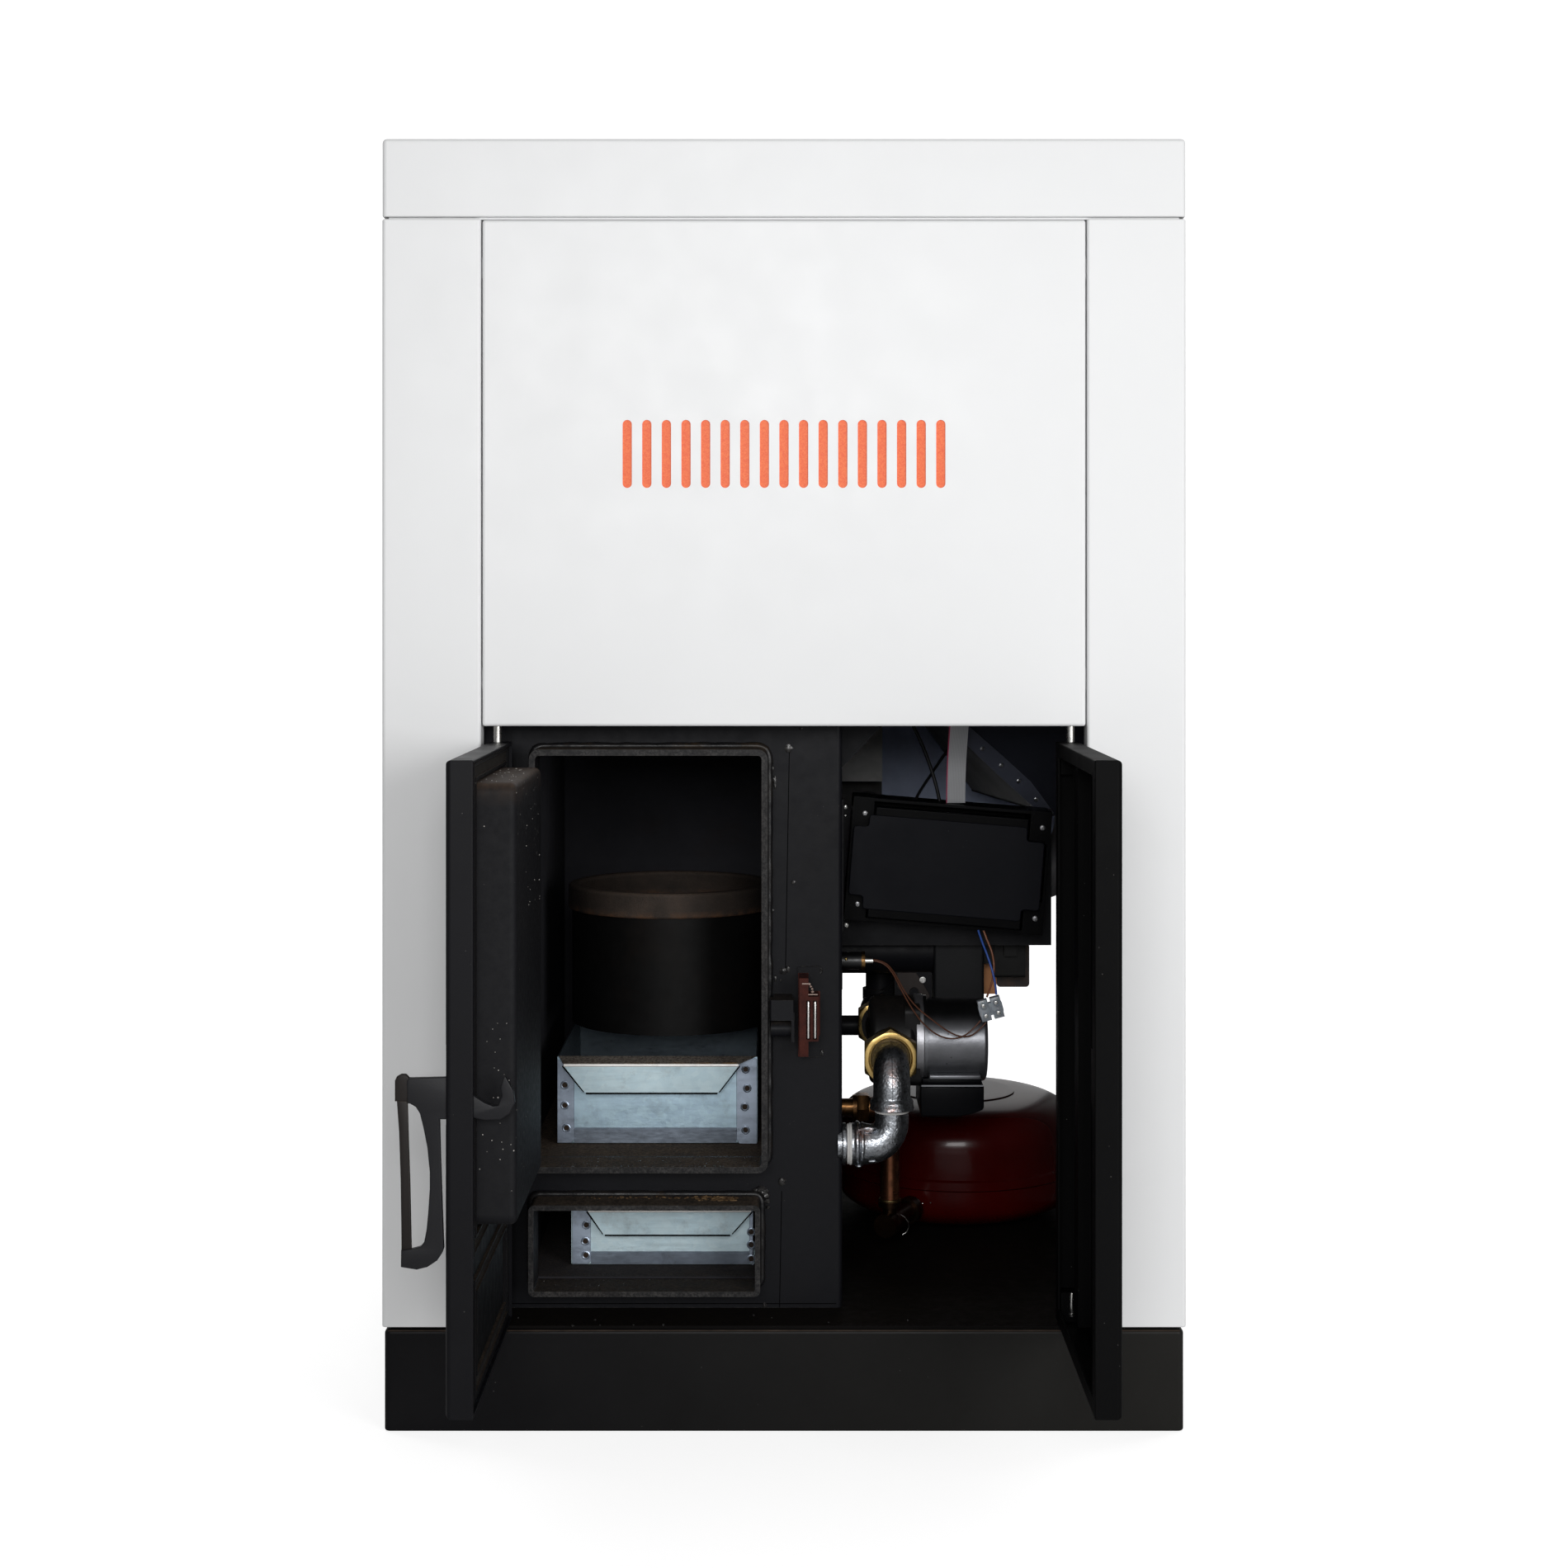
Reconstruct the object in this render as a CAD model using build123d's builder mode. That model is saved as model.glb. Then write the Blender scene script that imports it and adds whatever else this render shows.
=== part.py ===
from build123d import *
import math
import os

os.makedirs("parts", exist_ok=True)

# ------------------------------------------------------------------ driving dimensions (mm)
WIDTH = 780.0
DEPTH = 740.0
HEIGHT = 1254.0
FRONT = -DEPTH / 2  # depth position of the casing's front face; depths below are measured from it

PLINTH_H = 98.4
DECK_T = 2.6
DECK_Z = PLINTH_H + DECK_T
SHEET = 2.0
PANEL_TOP = 1176.0
COVER_Z = 1178.0
PILLAR_X = 294.0  # inner edge of each front pillar
PANEL_X = 292.6  # half width of the upper front panel
PANEL_Z0 = 684.0

SLOT_COUNT = 17
SLOT_PITCH = 19.0
SLOT_W = 9.0
SLOT_H = 66.0
SLOT_Z = 948.0

SHELL_X0, SHELL_X1 = -364.0, 58.0
SHELL_Y0, SHELL_Y1 = 65.0, 636.0
SHELL_Z1 = 1090.0
PLATE = 4.0

FRAME_Y0 = 23.0  # front edge of the two door frames
UP_X0, UP_X1, UP_Z0, UP_Z1, UP_T = -250.0, -16.0, 245.0, 660.0, 6.0
LO_X0, LO_X1, LO_Z0, LO_Z1, LO_T = -250.5, -23.4, 124.0, 213.4, 5.0

PIN_X, PIN_Y, PIN_R = 279.0, 11.0, 4.0
PIN_FIT = 0.05
DOOR_U0, DOOR_U1 = -11.0, 277.0  # along the door, from the hinge pin
DOOR_V0, DOOR_V1 = -11.0, 13.0  # through the door, outer face to inner face
DOOR_Z0, DOOR_Z1 = 103.5, 668.0
DOOR_SHEET = 3.0

LATCH_V, LATCH_Z, LATCH_R = 0.0, 377.0, 4.5
LATCH_U0, LATCH_U1 = 267.0, 273.0

POT_X, POT_Y, POT_R, POT_T = -120.0, 236.0, 106.0, 4.0
AUGER_Y, AUGER_Z, AUGER_R = 290.0, 426.0, 26.0

PUMP_X, PUMP_Y, PUMP_Z = 108.0, 210.0, 342.0
NUT_AF = 52.0

VESSEL_X, VESSEL_Y, VESSEL_R = 200.0, 450.0, 138.0

BOX_X, BOX_Y, BOX_Z, BOX_TURN = 171.5, 175.0, 529.6, 4.7
BOX_W, BOX_H, BOX_D = 208.0, 128.0, 60.0
LID_W, LID_H, LID_D = 196.0, 116.0, 14.0

FLUE_X, FLUE_Z, FLUE_R = 66.0, 642.0, 40.0
FAN_X, FAN_Z = -110.0, 700.0

DISPLAY_X, DISPLAY_Y = 180.0, 52.0


# ------------------------------------------------------------------ helpers
def front_plane(y):
    """Upright plane at a depth, facing the front: local x is X, local y is Z."""
    return Plane.XZ.offset(-(FRONT + y))


def side_plane(x):
    """Upright plane across the width: local x is Y, local y is Z, facing +X."""
    return Plane.YZ.offset(x)


def level(z):
    return Plane.XY.offset(z)


def cuboid(x0, x1, y0, y1, z0, z1, mode=Mode.ADD):
    with Locations(((x0 + x1) / 2, FRONT + (y0 + y1) / 2, (z0 + z1) / 2)):
        Box(abs(x1 - x0), abs(y1 - y0), abs(z1 - z0), mode=mode)


def rod_x(x0, x1, y, z, r, mode=Mode.ADD):
    with Locations(Location(((x0 + x1) / 2, FRONT + y, z), (0, 90, 0))):
        Cylinder(r, abs(x1 - x0), mode=mode)


def rod_y(y0, y1, x, z, r, mode=Mode.ADD):
    with Locations(Location((x, FRONT + (y0 + y1) / 2, z), (90, 0, 0))):
        Cylinder(r, abs(y1 - y0), mode=mode)


def rod_z(z0, z1, x, y, r, mode=Mode.ADD):
    with Locations((x, FRONT + y, (z0 + z1) / 2)):
        Cylinder(r, abs(z1 - z0), mode=mode)


def upright(part, x, y, tol=0.7):
    """Vertical edges that stand at a place in plan."""
    return [
        e
        for e in part.edges().filter_by(Axis.Z)
        if abs(e.center().X - x) < tol and abs(e.center().Y - FRONT - y) < tol
    ]


def left_door(u0, u1, v0, v1, z0, z1, mode=Mode.ADD):
    """Block on the open left door: u runs from the pin to the free edge, v from the outer to the inner face."""
    cuboid(-PIN_X + v0, -PIN_X + v1, PIN_Y - u1, PIN_Y - u0, z0, z1, mode)


def right_door(u0, u1, v0, v1, z0, z1, mode=Mode.ADD):
    cuboid(PIN_X - v1, PIN_X - v0, PIN_Y - u1, PIN_Y - u0, z0, z1, mode)


def side_profile(s):
    """Folded outline of a side panel, s = -1 left, +1 right: front pillar with its return, side and rear return."""
    pts = [
        (390, 0), (PILLAR_X, 0), (PILLAR_X, 24), (PILLAR_X + SHEET, 24), (PILLAR_X + SHEET, SHEET),
        (388, SHEET), (388, 736), (364, 736), (364, 738), (390, 738),
    ]
    return [(s * x, FRONT + y) for x, y in pts]


def finish(part, name):
    part.label = name
    export_step(part, "parts/" + name + ".step")


def turns(points):
    """The largest bend radius that each corner of a route leaves room for."""
    out = []
    for a, b, c in zip(points, points[1:], points[2:]):
        p, q = Vector(*b) - Vector(*a), Vector(*c) - Vector(*b)
        turn = math.radians(p.get_angle(q))
        out.append(0.45 * min(p.length, q.length) / math.tan(turn / 2))
    return out


# ------------------------------------------------------------------ casing
with BuildPart() as plinth:
    cuboid(-388, 388, 1, 739, 0, PLINTH_H)
    fillet(plinth.edges().filter_by(Axis.Z), 6)
    fillet(plinth.faces().sort_by(Axis.Z)[-1].edges(), 4)
    fillet(plinth.faces().sort_by(Axis.Z)[0].edges(), 2)
    cuboid(-385.5, 385.5, 3.5, 736.5, 2.5, PLINTH_H - 2.5, mode=Mode.SUBTRACT)
    cuboid(-362, 362, 27, 713, -1, 2.5, mode=Mode.SUBTRACT)
    cuboid(-364, 364, 340, 400, 0, 2.5)  # strap across the middle
finish(plinth.part, "plinth")

with BuildPart() as floor_deck:
    cuboid(-382, 382, 6, 734, PLINTH_H, DECK_Z)
    for side in (-1, 1):
        rod_z(PLINTH_H, DECK_Z, side * PIN_X, PIN_Y, PIN_R + 0.1, mode=Mode.SUBTRACT)
finish(floor_deck.part, "floor_deck")

with BuildPart() as side_panel_left:
    with BuildSketch(level(DECK_Z)):
        with BuildLine():
            Polyline(*side_profile(-1), close=True)
        make_face()
    extrude(amount=PANEL_TOP - DECK_Z)
    fillet(upright(side_panel_left, -390, 0), 4)
    fillet(upright(side_panel_left, -PILLAR_X, 0), 3)
    cuboid(-388, -366, 26, 714, DECK_Z, DECK_Z + 2)
    cuboid(-388, -366, 26, 714, PANEL_TOP - 2, PANEL_TOP)
    for z in (DECK_Z, PANEL_TOP):
        fillet(
            [
                e
                for e in side_panel_left.edges().filter_by(Axis.X)
                if abs(e.center().Z - z) < 0.1 and abs(e.center().Y - FRONT) < 0.1
            ],
            1.6,
        )
finish(side_panel_left.part, "side_panel_left")

with BuildPart() as side_panel_right:
    with BuildSketch(level(DECK_Z)):
        with BuildLine():
            Polyline(*side_profile(1), close=True)
        make_face()
    extrude(amount=PANEL_TOP - DECK_Z)
    fillet(upright(side_panel_right, 390, 0), 4)
    fillet(upright(side_panel_right, PILLAR_X, 0), 3)
    cuboid(366, 388, 26, 714, DECK_Z, DECK_Z + 2)
    cuboid(366, 388, 26, 714, PANEL_TOP - 2, PANEL_TOP)
    for z in (DECK_Z, PANEL_TOP):
        fillet(
            [
                e
                for e in side_panel_right.edges().filter_by(Axis.X)
                if abs(e.center().Z - z) < 0.1 and abs(e.center().Y - FRONT) < 0.1
            ],
            1.6,
        )
finish(side_panel_right.part, "side_panel_right")

with BuildPart() as rear_panel:
    cuboid(-387, 387, 738, 740, DECK_Z, PANEL_TOP)
    cuboid(66, 362, 730, 745, 150, 500, mode=Mode.SUBTRACT)
    rod_y(730, 745, FLUE_X, FLUE_Z, FLUE_R + 2, mode=Mode.SUBTRACT)
    rod_y(730, 745, 108, 545, 19, mode=Mode.SUBTRACT)
    rod_y(730, 745, -300, 190, 19, mode=Mode.SUBTRACT)
    cuboid(-346, -314, 730, 745, 560, 582, mode=Mode.SUBTRACT)
    # louvres for the fan bay
    with BuildSketch(front_plane(740)):
        with GridLocations(0, 22, 1, 7):
            with Locations((-110, 900)):
                SlotOverall(120, 6)
    extrude(amount=4, both=True, mode=Mode.SUBTRACT)
    # switch surround on the outside
    cuboid(-350, -310, 740, 743, 556, 586)
    cuboid(-345.5, -314.5, 738, 745, 560.5, 581.5, mode=Mode.SUBTRACT)
finish(rear_panel.part, "rear_panel")

LID_X0, LID_X1, LID_Y0, LID_Y1 = 66.0, 363.0, 104.0, 699.0
with BuildPart() as top_cover:
    cuboid(-390, 390, 0, 740, COVER_Z, HEIGHT)
    fillet(top_cover.edges().filter_by(Axis.Z), 5)
    fillet(top_cover.faces().sort_by(Axis.Z)[-1].edges(), 4)
    fillet(top_cover.faces().sort_by(Axis.Z)[0].edges(), 1.6)
    cuboid(-388, 388, 2, 738, COVER_Z + 2, HEIGHT - 2, mode=Mode.SUBTRACT)
    cuboid(-370, 370, 20, 720, COVER_Z - 1, COVER_Z + 3, mode=Mode.SUBTRACT)
    # seat ring that rests on the side panels
    cuboid(-384, 384, 6, 734, PANEL_TOP, COVER_Z)
    cuboid(-370, 370, 20, 720, PANEL_TOP - 1, COVER_Z + 1, mode=Mode.SUBTRACT)
    # filling opening with a ledge for the flush lid
    cuboid(LID_X0 - 3, LID_X1 + 3, LID_Y0 - 3, LID_Y1 + 3, 1240, HEIGHT - 1)
    cuboid(LID_X0 - 1, LID_X1 + 1, LID_Y0 - 1, LID_Y1 + 1, 1242, HEIGHT + 2, mode=Mode.SUBTRACT)
    cuboid(LID_X0 + 9, LID_X1 - 9, LID_Y0 + 9, LID_Y1 - 9, 1230, HEIGHT + 2, mode=Mode.SUBTRACT)
    # opening for the display
    cuboid(DISPLAY_X - 88, DISPLAY_X + 88, DISPLAY_Y - 34, DISPLAY_Y + 34, HEIGHT - 5, HEIGHT + 2, mode=Mode.SUBTRACT)
finish(top_cover.part, "top_cover")

with BuildPart() as hopper_lid:
    cuboid(LID_X0, LID_X1, LID_Y0, LID_Y1, 1242.3, HEIGHT)
    fillet(hopper_lid.edges().filter_by(Axis.Z), 3)
    fillet(hopper_lid.faces().sort_by(Axis.Z)[-1].edges(), 1.5)
    cuboid(LID_X0 + 2, LID_X1 - 2, LID_Y0 + 2, LID_Y1 - 2, 1240, HEIGHT - 2, mode=Mode.SUBTRACT)
    # finger notch in the front edge, with its pocket wall
    with BuildSketch(level(HEIGHT - 9)):
        with Locations(((LID_X0 + LID_X1) / 2, FRONT + LID_Y0)):
            SlotOverall(76, 44)
            Rectangle(90, 44, align=(Align.CENTER, Align.MAX), mode=Mode.SUBTRACT)
    extrude(amount=9)
    with BuildSketch(level(HEIGHT - 7)):
        with Locations(((LID_X0 + LID_X1) / 2, FRONT + LID_Y0)):
            SlotOverall(72, 40)
    extrude(amount=9, mode=Mode.SUBTRACT)
finish(hopper_lid.part, "hopper_lid")

with BuildPart() as upper_front_panel:
    cuboid(-PANEL_X, PANEL_X, 0, 22, PANEL_Z0, PANEL_TOP - 1)
    fillet(upper_front_panel.edges().filter_by(Axis.Y), 2.5)
    fillet(upper_front_panel.faces().sort_by(Axis.Y)[0].edges(), 3)
    cuboid(-PANEL_X + 1.5, PANEL_X - 1.5, 1.5, 30, PANEL_Z0 + 1.5, PANEL_TOP - 2.5, mode=Mode.SUBTRACT)
    with BuildSketch(front_plane(-5)):
        with Locations((0, SLOT_Z)):
            with GridLocations(SLOT_PITCH, 1, SLOT_COUNT, 1):
                SlotOverall(SLOT_H, SLOT_W, rotation=90)
    extrude(amount=-10, mode=Mode.SUBTRACT)
    for side in (-1, 1):
        rod_z(PANEL_Z0 - 1, PANEL_Z0 + 3, side * PIN_X, PIN_Y, PIN_R + 0.1, mode=Mode.SUBTRACT)
        for z in (720, 1120):
            cuboid(side * (PANEL_X - 1), side * PILLAR_X, 12, 20, z, z + 20)
finish(upper_front_panel.part, "upper_front_panel")

with BuildPart() as slot_backing:
    cuboid(-176, 176, 1.5, 2.5, 900, 996)
finish(slot_backing.part, "slot_backing")

# ------------------------------------------------------------------ boiler body
with BuildPart() as boiler_shell:
    cuboid(SHELL_X0, SHELL_X1, SHELL_Y0, SHELL_Y1, DECK_Z, SHELL_Z1)
    fillet(upright(boiler_shell, SHELL_X1, SHELL_Y0), 5)
    cuboid(SHELL_X0 + PLATE, SHELL_X1 - PLATE, SHELL_Y0 + PLATE, SHELL_Y1 - PLATE, DECK_Z + PLATE, SHELL_Z1 - PLATE, mode=Mode.SUBTRACT)
    cuboid(UP_X0 + UP_T, UP_X1 - UP_T, 60, 72, UP_Z0 + UP_T, UP_Z1 - UP_T, mode=Mode.SUBTRACT)
    cuboid(LO_X0 + LO_T, LO_X1 - LO_T, 60, 72, LO_Z0 + LO_T, LO_Z1 - LO_T, mode=Mode.SUBTRACT)
    rod_x(50, 62, AUGER_Y, AUGER_Z, AUGER_R + 0.2, mode=Mode.SUBTRACT)
    rod_y(628, 640, FAN_X, FAN_Z, 44, mode=Mode.SUBTRACT)
    # return connection, a threaded stub out of the back
    rod_y(SHELL_Y1 - 1, 775, -300, 190, 16.6)
    rod_y(741.5, 758, -300, 190, 20.5)
    rod_y(SHELL_Y1 - 6, 776, -300, 190, 12.5, mode=Mode.SUBTRACT)
    # gusset on the side that steadies the hopper
    with BuildSketch(front_plane(150)):
        with BuildLine():
            Polyline((57, 632), (57, 715), (138, 715), (66, 640), close=True)
        make_face()
    extrude(amount=-4)
finish(boiler_shell.part, "boiler_shell")

with BuildPart() as firebox:
    cuboid(-262, 8, SHELL_Y0 + PLATE, 470, 125, 900)
    cuboid(-256, 2, 60, 464, 251, 894, mode=Mode.SUBTRACT)
    cuboid(-256, 2, 60, 464, 131, 243, mode=Mode.SUBTRACT)
    rod_x(0, 10, AUGER_Y, AUGER_Z, AUGER_R + 0.2, mode=Mode.SUBTRACT)
    with BuildSketch(level(890)):
        with Locations((-127, FRONT + 300)):
            with GridLocations(58, 70, 4, 3):
                Circle(25.1)
    extrude(amount=12, mode=Mode.SUBTRACT)
finish(firebox.part, "firebox")

with BuildPart() as door_frames:
    with BuildSketch(front_plane(FRAME_Y0)):
        with Locations(((UP_X0 + UP_X1) / 2, (UP_Z0 + UP_Z1) / 2)):
            RectangleRounded(UP_X1 - UP_X0, UP_Z1 - UP_Z0, 10)
            RectangleRounded(UP_X1 - UP_X0 - 2 * UP_T, UP_Z1 - UP_Z0 - 2 * UP_T, 4, mode=Mode.SUBTRACT)
        with Locations(((LO_X0 + LO_X1) / 2, (LO_Z0 + LO_Z1) / 2)):
            RectangleRounded(LO_X1 - LO_X0, LO_Z1 - LO_Z0, 6)
            RectangleRounded(LO_X1 - LO_X0 - 2 * LO_T, LO_Z1 - LO_Z0 - 2 * LO_T, 1.5, mode=Mode.SUBTRACT)
    extrude(amount=-(SHELL_Y0 - FRAME_Y0))
finish(door_frames.part, "door_frames")

with BuildPart() as smoke_box:
    # fire tubes
    with BuildSketch(level(894)):
        with Locations((-127, FRONT + 300)):
            with GridLocations(58, 70, 4, 3):
                Circle(25)
                Circle(22, mode=Mode.SUBTRACT)
    extrude(amount=130)
    # collecting box above the tubes
    cuboid(-262, 8, 120, 632, 1020, 1086)
    cuboid(-258, 4, 124, 628, 1024, 1082, mode=Mode.SUBTRACT)
    # down duct to the fan
    cuboid(-200, -20, 540, 632, 640, 1022)
    cuboid(-196, -24, 544, 628, 644, 1026, mode=Mode.SUBTRACT)
    with BuildSketch(level(1018)):
        with Locations((-127, FRONT + 300)):
            with GridLocations(58, 70, 4, 3):
                Circle(22)
    extrude(amount=8, mode=Mode.SUBTRACT)
    rod_y(620, 634, FAN_X, FAN_Z, 44, mode=Mode.SUBTRACT)
finish(smoke_box.part, "smoke_box")

with BuildPart() as burner_pot:
    rod_z(360, 480, POT_X, POT_Y, POT_R)
    rod_z(364, 482, POT_X, POT_Y, POT_R - POT_T, mode=Mode.SUBTRACT)
    with BuildSketch(level(358)):
        with Locations((POT_X, FRONT + POT_Y)):
            with PolarLocations(60, 12):
                SlotOverall(34, 8)
    extrude(amount=8, mode=Mode.SUBTRACT)
    # bracket to the firebox back wall
    cuboid(POT_X - 40, POT_X + 40, POT_Y + POT_R - 8, 464, 400, 408)
    rod_z(364, 482, POT_X, POT_Y, POT_R - POT_T, mode=Mode.SUBTRACT)
    rod_x(POT_X + 40, POT_X + 120, AUGER_Y, AUGER_Z, AUGER_R - 2, mode=Mode.SUBTRACT)
finish(burner_pot.part, "burner_pot")

with BuildPart() as burner_ring:
    rod_z(480, 506, POT_X, POT_Y, 110)
    rod_z(478, 508, POT_X, POT_Y, 97, mode=Mode.SUBTRACT)
    fillet(burner_ring.edges().filter_by(GeomType.CIRCLE).group_by(Axis.Z)[-1], 3.5)
    fillet(burner_ring.edges().filter_by(GeomType.CIRCLE).group_by(Axis.Z)[0].sort_by(SortBy.LENGTH)[-1:], 2.5)
finish(burner_ring.part, "burner_ring")

with BuildPart() as upper_ash_pan:
    cuboid(-231.6, -27.2, 123, 380, 251.4, 340)
    fillet(upper_ash_pan.faces().sort_by(Axis.Z)[0].edges(), 2)
    cuboid(-230.1, -28.7, 124.5, 378.5, 252.9, 342, mode=Mode.SUBTRACT)
finish(upper_ash_pan.part, "upper_ash_pan")

with BuildPart() as lower_ash_pan:
    cuboid(-216, -30, 109, 366, 131.4, 196)
    fillet(lower_ash_pan.faces().sort_by(Axis.Z)[0].edges(), 2)
    cuboid(-214.5, -31.5, 110.5, 364.5, 132.9, 198, mode=Mode.SUBTRACT)
finish(lower_ash_pan.part, "lower_ash_pan")

# ------------------------------------------------------------------ left door, standing open
with BuildPart() as left_door_shell:
    left_door(DOOR_U0, DOOR_U1, DOOR_V0, DOOR_V1, DOOR_Z0, DOOR_Z1)
    fillet(left_door_shell.faces().sort_by(Axis.X)[0].edges(), 5)
    fillet(left_door_shell.faces().sort_by(Axis.X)[-1].edges(), 1.2)
    left_door(DOOR_U0 + 3, DOOR_U1 - 3, DOOR_V0 + 3, DOOR_V1 + 5, DOOR_Z0 + 3, DOOR_Z1 - 3, mode=Mode.SUBTRACT)
    # hinge blocks
    left_door(DOOR_U0 + 2, 9, DOOR_V0 + 2, 5.8, DOOR_Z0 + 2, 134)
    left_door(DOOR_U0 + 2, 9, DOOR_V0 + 2, 5.8, 637, DOOR_Z1 - 2)
    rod_z(DOOR_Z0 - 1, 130, -PIN_X, PIN_Y, PIN_R + PIN_FIT, mode=Mode.SUBTRACT)
    rod_z(641, DOOR_Z1 + 1, -PIN_X, PIN_Y, PIN_R + PIN_FIT, mode=Mode.SUBTRACT)
    # latch lug, shaft bores and the slot in the outer face
    left_door(254, 263, DOOR_V0 + 2, 5.8, 360, 394)
    rod_y(PIN_Y - 276, PIN_Y - 250, -PIN_X + LATCH_V, LATCH_Z, LATCH_R + PIN_FIT, mode=Mode.SUBTRACT)
    left_door(266, 274, DOOR_V0 - 2, DOOR_V0 + 4, 355, 424, mode=Mode.SUBTRACT)
finish(left_door_shell.part, "left_door_shell")

with BuildPart() as left_door_liner:
    left_door(DOOR_U0 + 3, DOOR_U1 - 3, 6, 10, DOOR_Z0 + 3, DOOR_Z1 - 3)
    for u0, u1, z0, z1 in (
        (UP_X0 + PIN_X + UP_T / 2, UP_X1 + PIN_X - UP_T / 2, UP_Z0 + UP_T / 2, UP_Z1 - UP_T / 2),
        (LO_X0 + PIN_X + LO_T / 2, LO_X1 + PIN_X - LO_T / 2, LO_Z0 + LO_T / 2, LO_Z1 - LO_T / 2),
    ):
        # two ridges with the rope channel between them
        left_door(u0 - 4.6, u1 + 4.6, 7, 11, z0 - 4.6, z1 + 4.6, mode=Mode.SUBTRACT)
        left_door(u0 + 4.6, u1 - 4.6, 6.5, 10, z0 + 4.6, z1 - 4.6)
        for a, b in ((7.4, 5.0), (-5.0, -7.4)):
            left_door(u0 - a, u1 + a, 10, DOOR_V1, z0 - a, z1 + a)
            left_door(u0 - b, u1 + b, 10, DOOR_V1 + 2, z0 - b, z1 + b, mode=Mode.SUBTRACT)
    left_door(266, 274, 5, DOOR_V1 + 2, 336, 404, mode=Mode.SUBTRACT)
finish(left_door_liner.part, "left_door_liner")

with BuildPart() as insulation_block:
    left_door(41, 251, 10, 47, 262, 646.5)
    fillet(insulation_block.edges().filter_by(Axis.X), 10)
    fillet(insulation_block.faces().sort_by(Axis.X)[-1].edges(), 6)
finish(insulation_block.part, "insulation_block")

with BuildPart() as door_gaskets:
    for u0, u1, z0, z1 in (
        (UP_X0 + PIN_X + UP_T / 2, UP_X1 + PIN_X - UP_T / 2, UP_Z0 + UP_T / 2, UP_Z1 - UP_T / 2),
        (LO_X0 + PIN_X + LO_T / 2, LO_X1 + PIN_X - LO_T / 2, LO_Z0 + LO_T / 2, LO_Z1 - LO_T / 2),
    ):
        with BuildSketch(side_plane(-PIN_X + 7)):
            with Locations((FRONT + PIN_Y - (u0 + u1) / 2, (z0 + z1) / 2)):
                RectangleRounded(u1 - u0 + 9, z1 - z0 + 9, 6)
                Rectangle(u1 - u0 - 9, z1 - z0 - 9, mode=Mode.SUBTRACT)
        extrude(amount=4.6)
finish(door_gaskets.part, "door_gaskets")

# latch lever: handle outside the door, hook inside, in one plate on a cross shaft; outline as (v, z)
HANDLE = [
    (-10.6, 395.9), (-42.5, 395.2), (-46.7, 398.8), (-54.9, 397.4), (-54.9, 375.4), (-53.1, 374.0), (-51.0, 348.5),
    (-49.6, 307.4), (-48.9, 257.8), (-49.6, 249.3), (-49.6, 233.1), (-36.1, 230.9), (-26.9, 233.1), (-18.4, 238.7),
    (-14.2, 245.1), (-12.7, 249.3), (-13.4, 264.9), (-15.6, 328.6), (-16.3, 359.8), (-10.6, 359.8),
    (12.4, 361.2), (22.3, 359.1), (35.9, 359.8), (43.9, 364.8), (48.2, 374.0), (46.7, 384.6), (39.7, 397.3),
    (35.9, 387.4), (37.3, 380.3), (34.0, 371.8), (29.8, 371.1), (22.3, 374.0), (12.4, 380.3), (4.0, 389.0),
]
GRIP = [
    (-43.9, 372.6), (-41.8, 373.3), (-36.8, 370.4), (-33.3, 364.8), (-30.4, 353.4), (-26.9, 335.7), (-24.8, 314.5),
    (-24.8, 300.3), (-26.2, 279.1), (-27.6, 264.9), (-29.7, 254.3), (-32.6, 250.8), (-37.5, 249.3), (-40.4, 249.3),
    (-41.8, 307.4), (-43.2, 348.5),
]
with BuildPart() as latch_lever:
    with BuildSketch(front_plane(PIN_Y - LATCH_U1)):
        with BuildLine():
            Polyline(*[(-PIN_X + v, z) for v, z in HANDLE], close=True)
        make_face()
        with BuildLine():
            Polyline(*[(-PIN_X + v, z) for v, z in GRIP], close=True)
        make_face(mode=Mode.SUBTRACT)
    extrude(amount=-(LATCH_U1 - LATCH_U0))
    rod_y(PIN_Y - 275.6, PIN_Y - 255, -PIN_X + LATCH_V, LATCH_Z, LATCH_R)
finish(latch_lever.part, "latch_lever")

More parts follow.
